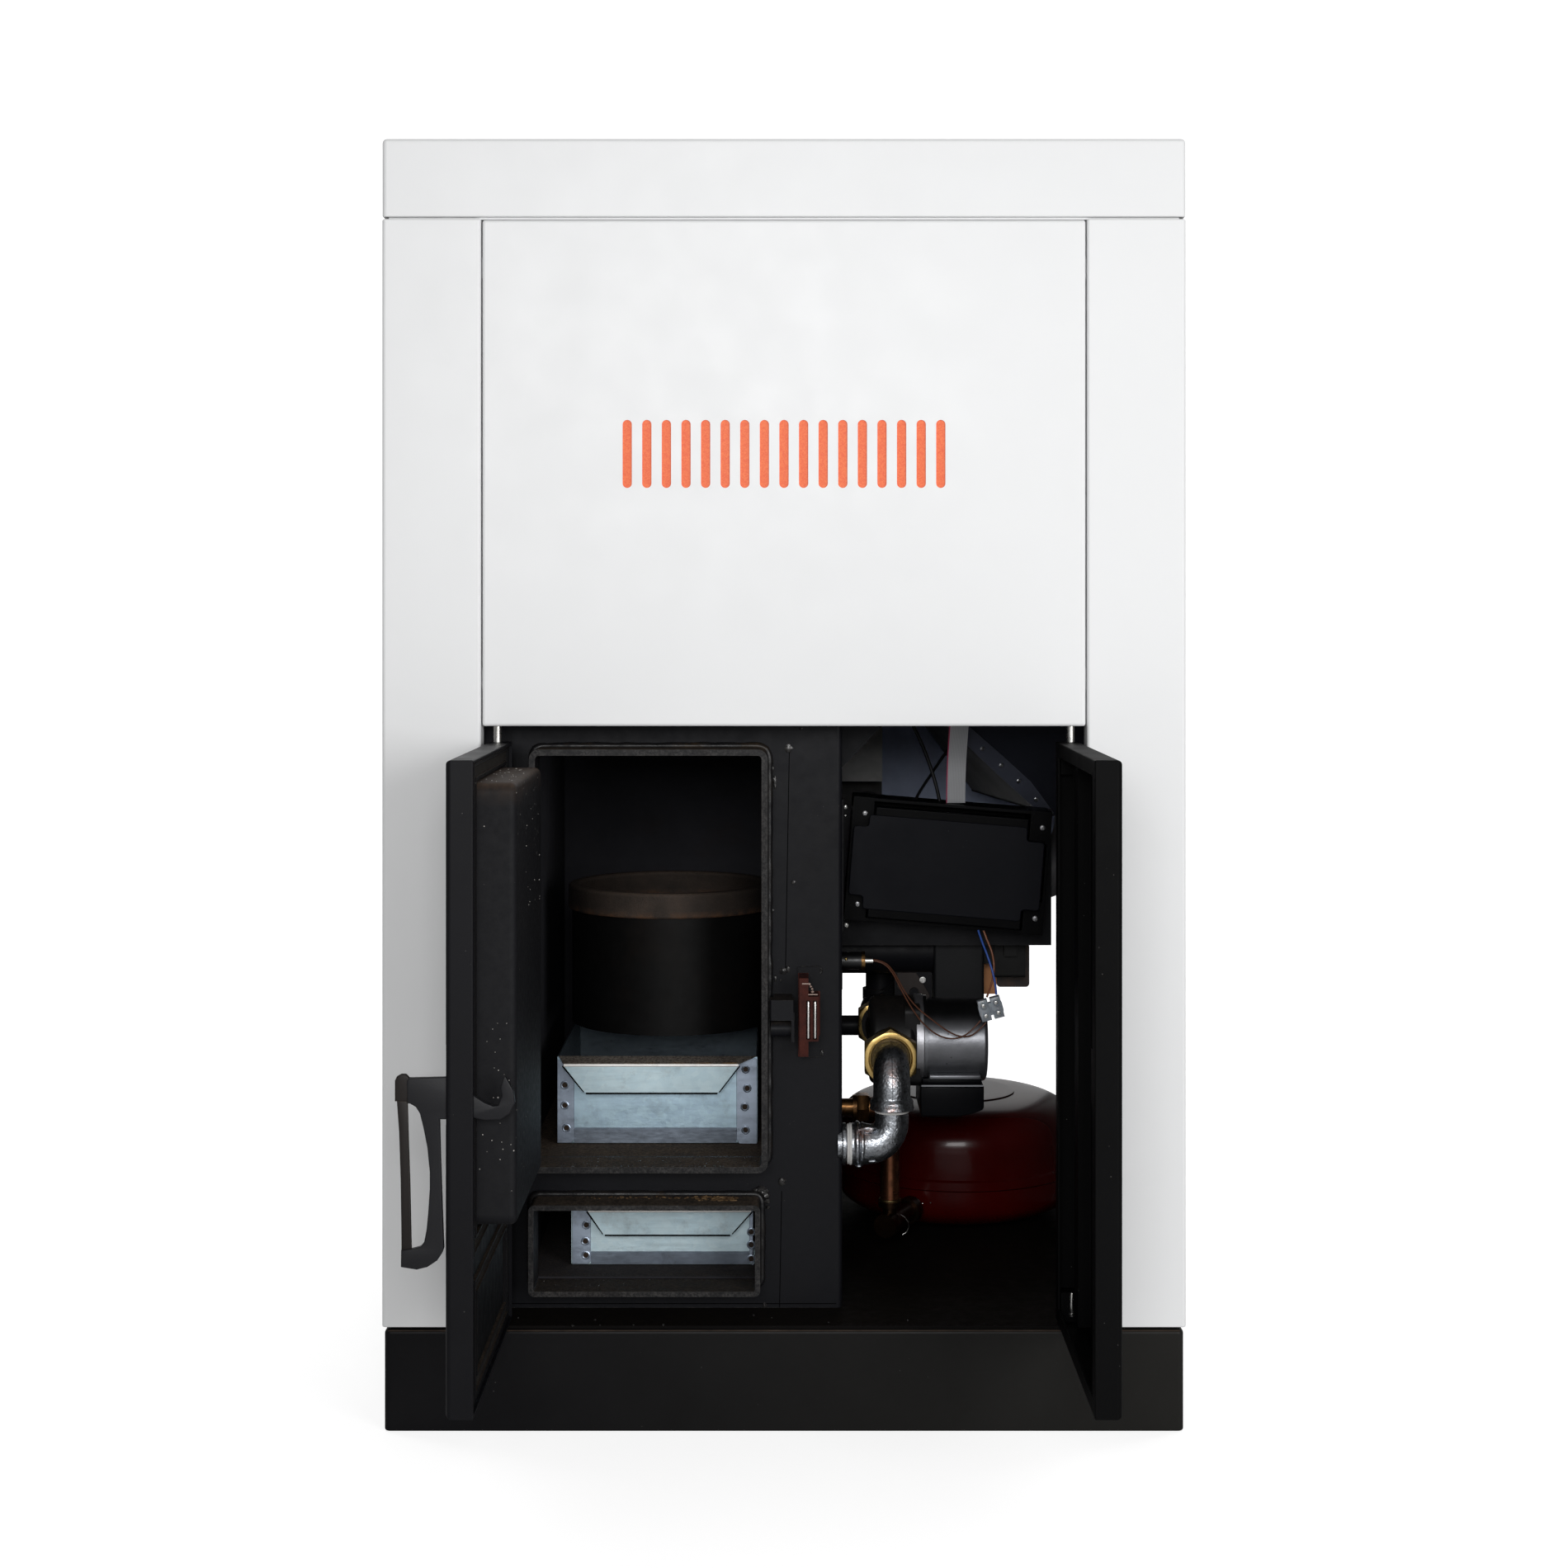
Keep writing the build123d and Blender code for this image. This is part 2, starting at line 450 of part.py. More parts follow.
# ------------------------------------------------------------------ right door, standing open
with BuildPart() as right_door_shell:
    right_door(DOOR_U0, DOOR_U1, DOOR_V0, DOOR_V1, DOOR_Z0, DOOR_Z1)
    fillet(right_door_shell.faces().sort_by(Axis.X)[-1].edges(), 5)
    fillet(right_door_shell.faces().sort_by(Axis.X)[0].edges(), 1.2)
    right_door(DOOR_U0 + 2, DOOR_U1 - 2, DOOR_V0 + 2, DOOR_V1 - 2, DOOR_Z0 + 2, DOOR_Z1 - 2, mode=Mode.SUBTRACT)
    right_door(8, DOOR_U1 - 16, DOOR_V1 - 4, DOOR_V1 + 2, DOOR_Z0 + 14, DOOR_Z1 - 14, mode=Mode.SUBTRACT)
    # hinge blocks
    right_door(DOOR_U0 + 1, 7.9, DOOR_V0 + 1, DOOR_V1 - 3, DOOR_Z0 + 1, 134)
    right_door(DOOR_U0 + 1, 7.9, DOOR_V0 + 1, DOOR_V1 - 3, 637, DOOR_Z1 - 1)
    rod_z(DOOR_Z0 - 1, 130, PIN_X, PIN_Y, PIN_R + PIN_FIT, mode=Mode.SUBTRACT)
    rod_z(641, DOOR_Z1 + 1, PIN_X, PIN_Y, PIN_R + PIN_FIT, mode=Mode.SUBTRACT)
    # folded stiffener near the hinge side, and the strike plate for the catch
    right_door(58, 60, DOOR_V0 + 2, DOOR_V0 + 14, DOOR_Z0 + 20, DOOR_Z1 - 20)
    right_door(58, 84, DOOR_V0 + 12, DOOR_V0 + 14, DOOR_Z0 + 20, DOOR_Z1 - 20)
    right_door(82, 84, DOOR_V0 + 2, DOOR_V0 + 14, DOOR_Z0 + 20, DOOR_Z1 - 20)
    right_door(244, 262, DOOR_V0 + 2, 12, 368, 416)
finish(right_door_shell.part, "right_door_shell")

with BuildPart() as hinge_pins:
    for side in (-1, 1):
        rod_z(PLINTH_H, 128, side * PIN_X, PIN_Y, PIN_R)
        rod_z(643, 702, side * PIN_X, PIN_Y, PIN_R)
finish(hinge_pins.part, "hinge_pins")

# ------------------------------------------------------------------ keeper and catch on the body front
with BuildPart() as latch_keeper:
    cuboid(-14, 10, 25.5, 44, 400, 414)
    cuboid(-14, 10, 25.5, 28.5, 394, 414)
    fillet(upright(latch_keeper, -14, 25.5) + upright(latch_keeper, 10, 25.5), 2)
    cuboid(-10, 8, 44, SHELL_Y0, 401, 414)
    cuboid(7.2, 10, 26, 52, 373, 402)
    rod_x(-13, 7.2, 38, 384, 4)
    rod_x(-12.6, 6.6, 38, 384, 7.5)
finish(latch_keeper.part, "latch_keeper")

with BuildPart() as catch_housing:
    cuboid(15, 34, 29, SHELL_Y0, 373, 417)
    cuboid(15, 24, 29, SHELL_Y0, 358, 435)
    cuboid(14, 36, SHELL_Y0 - 3, SHELL_Y0, 352, 441)
    cuboid(21.9, 25.9, 20, 36, 375, 413, mode=Mode.SUBTRACT)
    cuboid(28.4, 32.4, 20, 36, 375, 413, mode=Mode.SUBTRACT)
finish(catch_housing.part, "catch_housing")

# ------------------------------------------------------------------ fuel feed
HOP_Z, OUT_Z = 806.0, 577.0
with BuildPart() as hopper:
    for inset, mode in ((0, Mode.ADD), (1.6, Mode.SUBTRACT)):
        top = [(62 + inset, 100 + inset), (364 - inset, 100 + inset), (364 - inset, 700 - inset), (62 + inset, 700 - inset)]
        low = [
            (290 + inset, 250 + inset), (364 - inset, 250 + inset),
            (364 - inset, 600 - inset), (230 + inset, 600 - inset),
        ]
        with BuildSketch(level(HOP_Z)):
            with BuildLine():
                Polyline(*[(x, FRONT + y) for x, y in top], close=True)
            make_face()
        with BuildSketch(level(OUT_Z)):
            with BuildLine():
                Polyline(*[(x, FRONT + y) for x, y in low], close=True)
            make_face()
        loft(ruled=True, mode=mode)
        cuboid(62 + inset, 364 - inset, 100 + inset, 700 - inset, HOP_Z, 1240, mode=mode)
    # closing plate with the outlet
    with BuildSketch(level(OUT_Z - 2)):
        with BuildLine():
            Polyline(*[(x, FRONT + y) for x, y in ((290, 250), (364, 250), (364, 600), (230, 600))], close=True)
        make_face()
        with Locations((325, FRONT + 300)):
            Circle(25, mode=Mode.SUBTRACT)
    extrude(amount=2.0)
finish(hopper.part, "hopper")

with BuildPart() as feed_hose:
    hose_route = [(216, FRONT + 300, 505), (325, FRONT + 300, 505), (325, FRONT + 300, OUT_Z - 2)]
    with BuildLine() as hose_line:
        FilletPolyline(*hose_route, radius=60)
    with BuildSketch(Plane(origin=hose_line.line @ 0, z_dir=hose_line.line % 0)):
        Circle(28)
        Circle(24.5, mode=Mode.SUBTRACT)
    sweep(path=hose_line.line)
finish(feed_hose.part, "feed_hose")

with BuildPart() as feed_chute:
    cuboid(162, 216, 256, 332, 366, 545)
    fillet(feed_chute.edges().filter_by(Axis.Z), 3)
    cuboid(164, 214, 258, 330, 368, 543, mode=Mode.SUBTRACT)
    rod_x(160, 166, AUGER_Y, AUGER_Z, AUGER_R + 0.2, mode=Mode.SUBTRACT)
    rod_x(210, 220, AUGER_Y, AUGER_Z, 6.05, mode=Mode.SUBTRACT)
    rod_x(210, 220, 300, 505, 25, mode=Mode.SUBTRACT)
finish(feed_chute.part, "feed_chute")

with BuildPart() as auger_tube:
    rod_x(-16, 164, AUGER_Y, AUGER_Z, AUGER_R)
    # flange at the body side, bolted
    cuboid(58, 63, AUGER_Y - 38, AUGER_Y + 38, AUGER_Z - 38, AUGER_Z + 38)
    # clean-out neck under the tube
    cuboid(120, 160, 268, 312, 367, 404)
    rod_y(260, 268, 141, 383, 5)
    rod_x(-20, 170, AUGER_Y, AUGER_Z, AUGER_R - 2, mode=Mode.SUBTRACT)
finish(auger_tube.part, "auger_tube")

with BuildPart() as auger_screw:
    rod_x(-14, 226, AUGER_Y, AUGER_Z, 6)
    for n in range(8):
        x = -8 + n * 26
        with BuildSketch(Plane(origin=(x, FRONT + AUGER_Y, AUGER_Z), x_dir=(0, 1, 0), z_dir=(1, 0, 0.18))):
            Circle(21.5)
        extrude(amount=2.4)
finish(auger_screw.part, "auger_screw")

with BuildPart() as gearbox:
    cuboid(228, 262, 270, 306, 398, 438)
    fillet(gearbox.edges().filter_by(Axis.X), 3)
    cuboid(216, 229, 276, 304, 412, 435)
    cuboid(238, 252, 262, 270, 422, 436)
    rod_x(210, 234, AUGER_Y, AUGER_Z, 6.05, mode=Mode.SUBTRACT)
finish(gearbox.part, "gearbox")

with BuildPart() as motor_core:
    # laminated core with its window, and the coil on one limb
    cuboid(234, 270, 306, 330, 382, 430)
    fillet(motor_core.edges().filter_by(Axis.Y), 4)
    cuboid(219, 234, 308, 328, 374, 414)
finish(motor_core.part, "motor_core")

# ------------------------------------------------------------------ smoke side
with BuildPart() as fan_housing:
    rod_y(SHELL_Y1, 690, FAN_X, FAN_Z, 92)
    cuboid(FAN_X, -8, SHELL_Y1, 690, 608, 700)
    cuboid(-10, 122, SHELL_Y1, 690, 584, 700)
    rod_y(SHELL_Y1 + 2, 688, FAN_X, FAN_Z, 90, mode=Mode.SUBTRACT)
    cuboid(FAN_X, -6, SHELL_Y1 + 2, 688, 610, 698, mode=Mode.SUBTRACT)
    cuboid(-8, 120, SHELL_Y1 + 2, 688, 586, 698, mode=Mode.SUBTRACT)
    rod_y(SHELL_Y1 - 2, 645, FAN_X, FAN_Z, 44, mode=Mode.SUBTRACT)
    rod_y(686, 782, FLUE_X, FLUE_Z, FLUE_R)
    rod_y(742, 746, FLUE_X, FLUE_Z, FLUE_R + 3)  # stop bead outside the rear panel
    rod_y(680, 790, FLUE_X, FLUE_Z, FLUE_R - 1.5, mode=Mode.SUBTRACT)
    rod_y(685, 695, FAN_X, FAN_Z, 5, mode=Mode.SUBTRACT)
finish(fan_housing.part, "fan_housing")

with BuildPart() as fan_impeller:
    rod_y(652, 655, FAN_X, FAN_Z, 74)
    rod_y(652, 700, FAN_X, FAN_Z, 4)
    rod_y(655, 668, FAN_X, FAN_Z, 14)
    with BuildSketch(front_plane(655)):
        with Locations((FAN_X, FAN_Z)):
            with PolarLocations(48, 10):
                Rectangle(46, 2)
    extrude(amount=-24)
finish(fan_impeller.part, "fan_impeller")

with BuildPart() as fan_motor:
    rod_y(690, 732, FAN_X, FAN_Z, 42)
    fillet(fan_motor.edges().filter_by(GeomType.CIRCLE).sort_by(Axis.Y)[-1:], 6)
    rod_y(688, 704, FAN_X, FAN_Z, 4.05, mode=Mode.SUBTRACT)
finish(fan_motor.part, "fan_motor")

# ------------------------------------------------------------------ water side
with BuildPart() as pump_volute:
    rod_x(90, 138, PUMP_Y, PUMP_Z, 46)
    fillet(pump_volute.edges().filter_by(GeomType.CIRCLE), 7)
    cuboid(126, 142, PUMP_Y - 42, PUMP_Y + 42, PUMP_Z - 42, PUMP_Z + 42)
    fillet([e for e in pump_volute.edges().filter_by(Axis.X) if abs(e.length - 16) < 3], 8)
    rod_y(120, 300, PUMP_X, PUMP_Z, 19)
    rod_y(120, 126, PUMP_X, PUMP_Z, 23)
    rod_y(294, 300, PUMP_X, PUMP_Z, 23)
finish(pump_volute.part, "pump_volute")

with BuildPart() as pump_motor:
    rod_x(142, 150, PUMP_Y, PUMP_Z, 47)
    rod_x(142, 213, PUMP_Y, PUMP_Z, 43)
    fillet(pump_motor.edges().filter_by(GeomType.CIRCLE).sort_by(Axis.X)[-1:], 4)
finish(pump_motor.part, "pump_motor")

with BuildPart() as pump_terminal_box:
    cuboid(141, 210, 160, 250, 268, 296)
    fillet(pump_terminal_box.edges().filter_by(Axis.Y), 4)
    fillet(pump_terminal_box.edges().filter_by(Axis.Z), 3)
    cuboid(152, 206, 182, 236, 295, 306)
    rod_x(140, 214, PUMP_Y, PUMP_Z, 43, mode=Mode.SUBTRACT)
    rod_x(140, 150.2, PUMP_Y, PUMP_Z, 47, mode=Mode.SUBTRACT)
finish(pump_terminal_box.part, "pump_terminal_box")

with BuildPart() as union_nuts:
    for y in (100, 300):
        with BuildSketch(front_plane(y)):
            with Locations((PUMP_X, PUMP_Z)):
                RegularPolygon(NUT_AF / 2, 6, major_radius=False, rotation=30)
        extrude(amount=-20)
        rod_y(y - 2, y + 22, PUMP_X, PUMP_Z, 19, mode=Mode.SUBTRACT)
finish(union_nuts.part, "union_nuts")

with BuildPart() as return_elbows:
    # upper elbow: out of the front union and down
    with BuildLine() as upper_bend:
        FilletPolyline((PUMP_X, FRONT + 116, PUMP_Z), (PUMP_X, FRONT + 76, PUMP_Z), (PUMP_X, FRONT + 76, 296), radius=26)
    with BuildSketch(Plane(origin=upper_bend.line @ 0, z_dir=upper_bend.line % 0)):
        Circle(18.4)
    sweep(path=upper_bend.line)
    rod_z(296, 305, PUMP_X, 76, 21)
    # lower elbow: down and into the side of the body
    with BuildLine() as lower_bend:
        FilletPolyline((PUMP_X, FRONT + 76, 296), (PUMP_X, FRONT + 76, 262), (58, FRONT + 76, 262), radius=24)
    with BuildSketch(Plane(origin=lower_bend.line @ 0, z_dir=lower_bend.line % 0)):
        Circle(17)
    sweep(path=lower_bend.line)
    rod_x(68.6, 75, 76, 262, 20.8)
    rod_x(58, 62, 76, 262, 20.8)
finish(return_elbows.part, "return_elbows")

with BuildPart() as flow_pipe:
    # rear union, tee with a side branch to the body, riser and flow connection out of the back
    with BuildLine() as riser:
        FilletPolyline(
            (PUMP_X, FRONT + 302, PUMP_Z), (PUMP_X, FRONT + 350, PUMP_Z), (PUMP_X, FRONT + 350, 545), (PUMP_X, FRONT + 776, 545),
            radius=30,
        )
    with BuildSketch(Plane(origin=riser.line @ 0, z_dir=riser.line % 0)):
        Circle(16.6)
    sweep(path=riser.line)
    rod_x(58, PUMP_X, 350, 332, 11)
    rod_z(362, 374, PUMP_X, 350, 20)
    rod_y(741.5, 758, PUMP_X, 545, 20.5)  # coupling outside the rear panel
    rod_y(762, 777, PUMP_X, 545, 12.5, mode=Mode.SUBTRACT)
finish(flow_pipe.part, "flow_pipe")

with BuildPart() as expansion_vessel:
    with BuildSketch(Plane(origin=(VESSEL_X, FRONT + VESSEL_Y, 0), x_dir=(1, 0, 0), z_dir=(0, -1, 0))):
        with BuildLine():
            Polyline((0, 101), (70, 101), (70, 108))
            Spline((70, 108), (112, 112), (132, 124), (VESSEL_R, 146), tangents=((1, 0.02), (0, 1)))
            Polyline((VESSEL_R, 146), (VESSEL_R, 154), (VESSEL_R + 2.5, 156), (VESSEL_R + 2.5, 165), (VESSEL_R, 167), (VESSEL_R, 196))
            Spline((VESSEL_R, 196), (131, 219), (112, 232.5), (60, 239.5), (0, 241), tangents=((0, 1), (-1, 0)))
            Line((0, 241), (0, 101))
        make_face()
    revolve(axis=Axis((VESSEL_X, FRONT + VESSEL_Y, 0), (0, 0, 1)))
finish(expansion_vessel.part, "expansion_vessel")

PORT_DX, PORT_DY = (VESSEL_X - 114) / 216.9, (VESSEL_Y - 250) / 216.9
with BuildPart() as vessel_pipe:
    # brass fitting in the body side
    rod_x(58, 74, 250, 262, 9)
    rod_x(74, 84, 250, 262, 13)
    rod_x(84, 92, 250, 262, 12)
    # copper riser with its reducer
    with BuildLine() as copper:
        FilletPolyline((92, FRONT + 250, 262), (114, FRONT + 250, 262), (114, FRONT + 250, 160), radius=20)
    with BuildSketch(Plane(origin=copper.line @ 0, z_dir=copper.line % 0)):
        Circle(10.6)
    sweep(path=copper.line)
    rod_z(155, 161, 114, 250, 12.2)
    rod_z(139, 156, 114, 250, 7.5)
    # brass elbow to the vessel port
    with Locations((114, FRONT + 250, 137)):
        Sphere(13)
    with Locations(Location(Plane(origin=(114, FRONT + 250, 137), z_dir=(PORT_DX, PORT_DY, 0)))):
        Cylinder(11, 60, align=(Align.CENTER, Align.CENTER, Align.MIN))
    with Locations(Location(Plane(origin=(114 + PORT_DX * 52, FRONT + 250 + PORT_DY * 52, 137), z_dir=(PORT_DX, PORT_DY, 0)))):
        Cylinder(14, 14, align=(Align.CENTER, Align.CENTER, Align.MIN))
    with Locations(Location(Plane(origin=(114, FRONT + 250, 137), z_dir=(-PORT_DX, -PORT_DY, 0)))):
        Cylinder(12.5, 16, align=(Align.CENTER, Align.CENTER, Align.MIN))
    with Locations((VESSEL_X, FRONT + VESSEL_Y, 140)):
        Cylinder(VESSEL_R + 0.3, 60, mode=Mode.SUBTRACT)
finish(vessel_pipe.part, "vessel_pipe")

with BuildPart() as sensor_fitting:
    rod_x(58, 80.3, 155, 433.5, 9)
    rod_x(80.3, 83.8, 155, 433.5, 9.6)
    rod_x(83.8, 92, 155, 433.5, 3.3)
finish(sensor_fitting.part, "sensor_fitting")

# ------------------------------------------------------------------ electrical
BOX_PLANE = Plane(
    origin=(BOX_X, FRONT + BOX_Y, BOX_Z),
    x_dir=(math.cos(math.radians(BOX_TURN)), 0, -math.sin(math.radians(BOX_TURN))),
    z_dir=(0, -1, 0),
)
with BuildPart() as control_box_base:
    with BuildSketch(BOX_PLANE):
        RectangleRounded(BOX_W, BOX_H, 4)
    extrude(amount=-BOX_D)
    with BuildSketch(BOX_PLANE):
        RectangleRounded(BOX_W - 6, BOX_H - 6, 2)
    extrude(amount=-(BOX_D - 3), mode=Mode.SUBTRACT)
    with BuildSketch(BOX_PLANE):
        with GridLocations(186, 95, 2, 2):
            Rectangle(22, 34)
    extrude(amount=-(BOX_D - 2))
    with BuildSketch(BOX_PLANE.offset(-14)):
        Rectangle(164, BOX_H - 6)
        Rectangle(BOX_W - 6, 61)
    extrude(amount=-(BOX_D - 17), mode=Mode.SUBTRACT)
finish(control_box_base.part, "control_box_base")

with BuildPart() as control_box_lid:
    with BuildSketch(BOX_PLANE):
        with Locations((-1, -1.2)):
            Rectangle(LID_W, LID_H)
            with GridLocations(LID_W, LID_H, 2, 2):
                RectangleRounded(36, 46, 3, mode=Mode.SUBTRACT)
    extrude(amount=LID_D)
    fillet(control_box_lid.faces().sort_by(Axis.Y)[0].edges(), 1.5)
finish(control_box_lid.part, "control_box_lid")

with BuildPart() as box_bracket:
    cuboid(58, 286, BOX_Y + BOX_D, BOX_Y + BOX_D + 3, 438, 584)
    cuboid(58, 60.4, 110, BOX_Y + BOX_D + 3, 470, 604)
    cuboid(58, 70, BOX_Y + BOX_D, BOX_Y + BOX_D + 3, 470, 584)
finish(box_bracket.part, "box_bracket")

ribbon_route = [
    (190, 594.2), (188.5, 610), (177, 640), (150, 671), (119, 704), (95, 742), (82, 786), (77, 838), (73.5, 892),
    (71, 948), (69.5, 1004), (66.5, 1060), (62.5, 1116), (60, 1172), (60.6, 1236.9),
]
with BuildPart() as ribbon_cable:
    route = [(FRONT + y, z) for y, z in ribbon_route]
    bends = turns([(a, b, 0) for a, b in route])
    print("ribbon radii", [round(r, 1) for r in bends])
    with BuildSketch(side_plane(170.3)):
        with BuildLine() as ribbon_line:
            FilletPolyline(*route, radius=bends)
        trace(ribbon_line.line, line_width=1.4)
    extrude(amount=20)
    print("ribbon", round(ribbon_cable.part.volume / 28.0, 1), "mm long")
finish(ribbon_cable.part, "ribbon_cable")

with BuildPart() as terminal_block:
    with BuildSketch(Plane(origin=(214.5, FRONT + 153, 383), x_dir=(0.966, 0, 0.259), z_dir=(0, -1, 0))):
        Rectangle(27, 13)
        with Locations((-6.75, 0), (6.75, 0)):
            Rectangle(10.5, 22)
    extrude(amount=-14)
finish(terminal_block.part, "terminal_block")

WIRES = {
    "display_cable": (
        1.9,
        [
            (164.5, 205, 594.9), (161.5, 205, 609), (157, 205, 624.5), (151, 203, 642), (143, 196, 661), (133.5, 186, 679),
            (124, 166, 704), (115.5, 134, 742), (109, 98, 788), (105.5, 74, 848), (104.5, 66, 920), (106, 64.5, 1010),
            (108, 63, 1110), (108.5, 61, 1190), (108.5, 60, 1236.9),
        ],
    ),
    "probe_cable": (
        1.6,
        [
            (138.2, 192, 597.3), (142.2, 198, 604), (149.5, 211, 613), (158.6, 225, 624.5), (167.5, 234, 636.2),
            (176, 240, 647.3), (184.5, 245.5, 657), (194.5, 250, 665),
        ],
    ),
    "blue_wire": (
        1.1,
        [(203, 177, 462.1), (206, 173, 452), (211.5, 167.5, 438), (216.6, 163.5, 422), (219.6, 161, 408), (220.4, 160, 397.4)],
    ),
    "brown_wire": (
        1.1,
        [(208.6, 178, 461.6), (212, 176, 452), (217.2, 173.5, 440), (219.4, 171.5, 425), (217, 167.5, 408.5), (210.6, 162, 394.6)],
    ),
    "sensor_wire_a": (
        0.8,
        [
            (92.15, 155, 433.5), (101.5, 154.5, 432.4), (111.2, 154, 423.6), (119.7, 153.5, 407), (128.0, 153, 391.4),
            (136.8, 152.5, 377.6), (146, 152.5, 366.4), (158.2, 152.5, 356.8), (171.2, 152.5, 352.6), (184, 153, 354.4),
            (195, 154.5, 361.4), (203.6, 156.5, 371.2),
        ],
    ),
    "sensor_wire_b": (
        0.8,
        [
            (92.15, 157.4, 434.2), (102.0, 158, 433.0), (112.4, 158, 424.4), (121.2, 157.6, 408), (129.4, 157, 394.2),
            (139.4, 156.8, 383.0), (150.4, 156.6, 374.4), (162.8, 156.6, 364.8), (175.6, 156.8, 356.4), (188.4, 157.4, 353.6),
            (199.6, 158.6, 357.4), (209.8, 160.5, 368.6),
        ],
    ),
}
wire_parts = {}
for wire_name, (wire_r, wire_route) in WIRES.items():
    wire_points = [(x, FRONT + y, z) for x, y, z in wire_route]
    wire_bends = turns(wire_points)
    print(wire_name, "radii", [round(r, 1) for r in wire_bends])
    with BuildPart() as wire:
        with BuildLine() as wire_line:
            FilletPolyline(*wire_points, radius=wire_bends)
        with BuildSketch(Plane(origin=wire_line.line @ 0, z_dir=wire_line.line % 0)):
            Circle(wire_r)
        sweep(path=wire_line.line)
    print(
        wire_name, "length", round(wire_line.wires()[0].length, 1), "volume ratio",
        round(wire.part.volume / (math.pi * wire_r**2 * wire_line.wires()[0].length), 4),
    )
    finish(wire.part, wire_name)

with BuildPart() as display_panel:
    cuboid(DISPLAY_X - 87.6, DISPLAY_X + 87.6, DISPLAY_Y - 33.6, DISPLAY_Y + 33.6, 1237, 1252.6)
    fillet(display_panel.edges().filter_by(Axis.Z), 3)
    cuboid(DISPLAY_X - 92, DISPLAY_X + 92, DISPLAY_Y - 38, DISPLAY_Y + 38, 1249, 1252)
    cuboid(DISPLAY_X - 74, DISPLAY_X + 22, DISPLAY_Y - 20, DISPLAY_Y + 20, 1251.4, 1256, mode=Mode.SUBTRACT)
    for x in (44, 68):
        rod_z(1244, 1256, DISPLAY_X + x, DISPLAY_Y, 7.3, mode=Mode.SUBTRACT)
finish(display_panel.part, "display_panel")

with BuildPart() as display_button_up:
    rod_z(1246, 1253.8, DISPLAY_X + 44, DISPLAY_Y, 7)
    fillet(display_button_up.edges().filter_by(GeomType.CIRCLE).sort_by(Axis.Z)[-1:], 1)
finish(display_button_up.part, "display_button_up")

with BuildPart() as display_button_down:
    rod_z(1246, 1253.8, DISPLAY_X + 68, DISPLAY_Y, 7)
    fillet(display_button_down.edges().filter_by(GeomType.CIRCLE).sort_by(Axis.Z)[-1:], 1)
finish(display_button_down.part, "display_button_down")

with BuildPart() as power_switch:
    # rocker that tilts about its middle
    with BuildSketch(side_plane(-345)):
        with BuildLine():
            Polyline(
                (FRONT + 734, 563), (FRONT + 734, 579), (FRONT + 745.5, 579), (FRONT + 743.2, 571), (FRONT + 743.2, 563),
                close=True,
            )
        make_face()
    extrude(amount=30)
finish(power_switch.part, "power_switch")
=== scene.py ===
import math
import random

import bmesh
import bpy
from mathutils import Matrix, Vector, noise


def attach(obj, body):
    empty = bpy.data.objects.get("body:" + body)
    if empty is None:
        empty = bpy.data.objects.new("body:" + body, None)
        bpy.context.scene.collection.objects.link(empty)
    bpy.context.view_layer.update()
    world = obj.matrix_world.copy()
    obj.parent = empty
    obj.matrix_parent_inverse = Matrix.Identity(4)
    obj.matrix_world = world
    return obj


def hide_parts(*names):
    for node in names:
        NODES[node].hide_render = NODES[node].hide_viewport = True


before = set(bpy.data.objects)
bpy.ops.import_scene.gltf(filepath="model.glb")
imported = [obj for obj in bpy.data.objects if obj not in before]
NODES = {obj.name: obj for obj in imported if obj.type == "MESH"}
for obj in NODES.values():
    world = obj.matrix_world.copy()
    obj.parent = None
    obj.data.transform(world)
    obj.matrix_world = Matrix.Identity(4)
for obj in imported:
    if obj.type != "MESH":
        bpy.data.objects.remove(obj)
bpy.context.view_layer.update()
FRONT = -0.370
scene = bpy.context.scene
random.seed(7)


def P(x, y, z):
    """Millimetres, with y the depth behind the casing's front face, to metres in the row frame."""
    return Vector((x / 1000.0, FRONT + y / 1000.0, z / 1000.0))


def px_x(px, y):
    """X of a picture column at a depth, in mm."""
    return (px - 950) * (2264 + y) / 2830


def px_z(py, y):
    return 796 - (py - 740) * (2264 + y) / 2830


def Q(px, py, y):
    return P(px_x(px, y), y, px_z(py, y))


# ------------------------------------------------------------------ camera
cam_data = bpy.data.cameras.new("camera")
cam = bpy.data.objects.new("camera", cam_data)
scene.collection.objects.link(cam)
cam.location = (0.0, FRONT - 2.264, 0.796)
cam.rotation_euler = (math.radians(90), 0, 0)
cam_data.sensor_width = 36.0
cam_data.lens = 36.0 * 2830.0 / 1900.0
cam_data.shift_y = -210.0 / 1900.0
cam_data.clip_start = 0.05
cam_data.clip_end = 60
scene.camera = cam


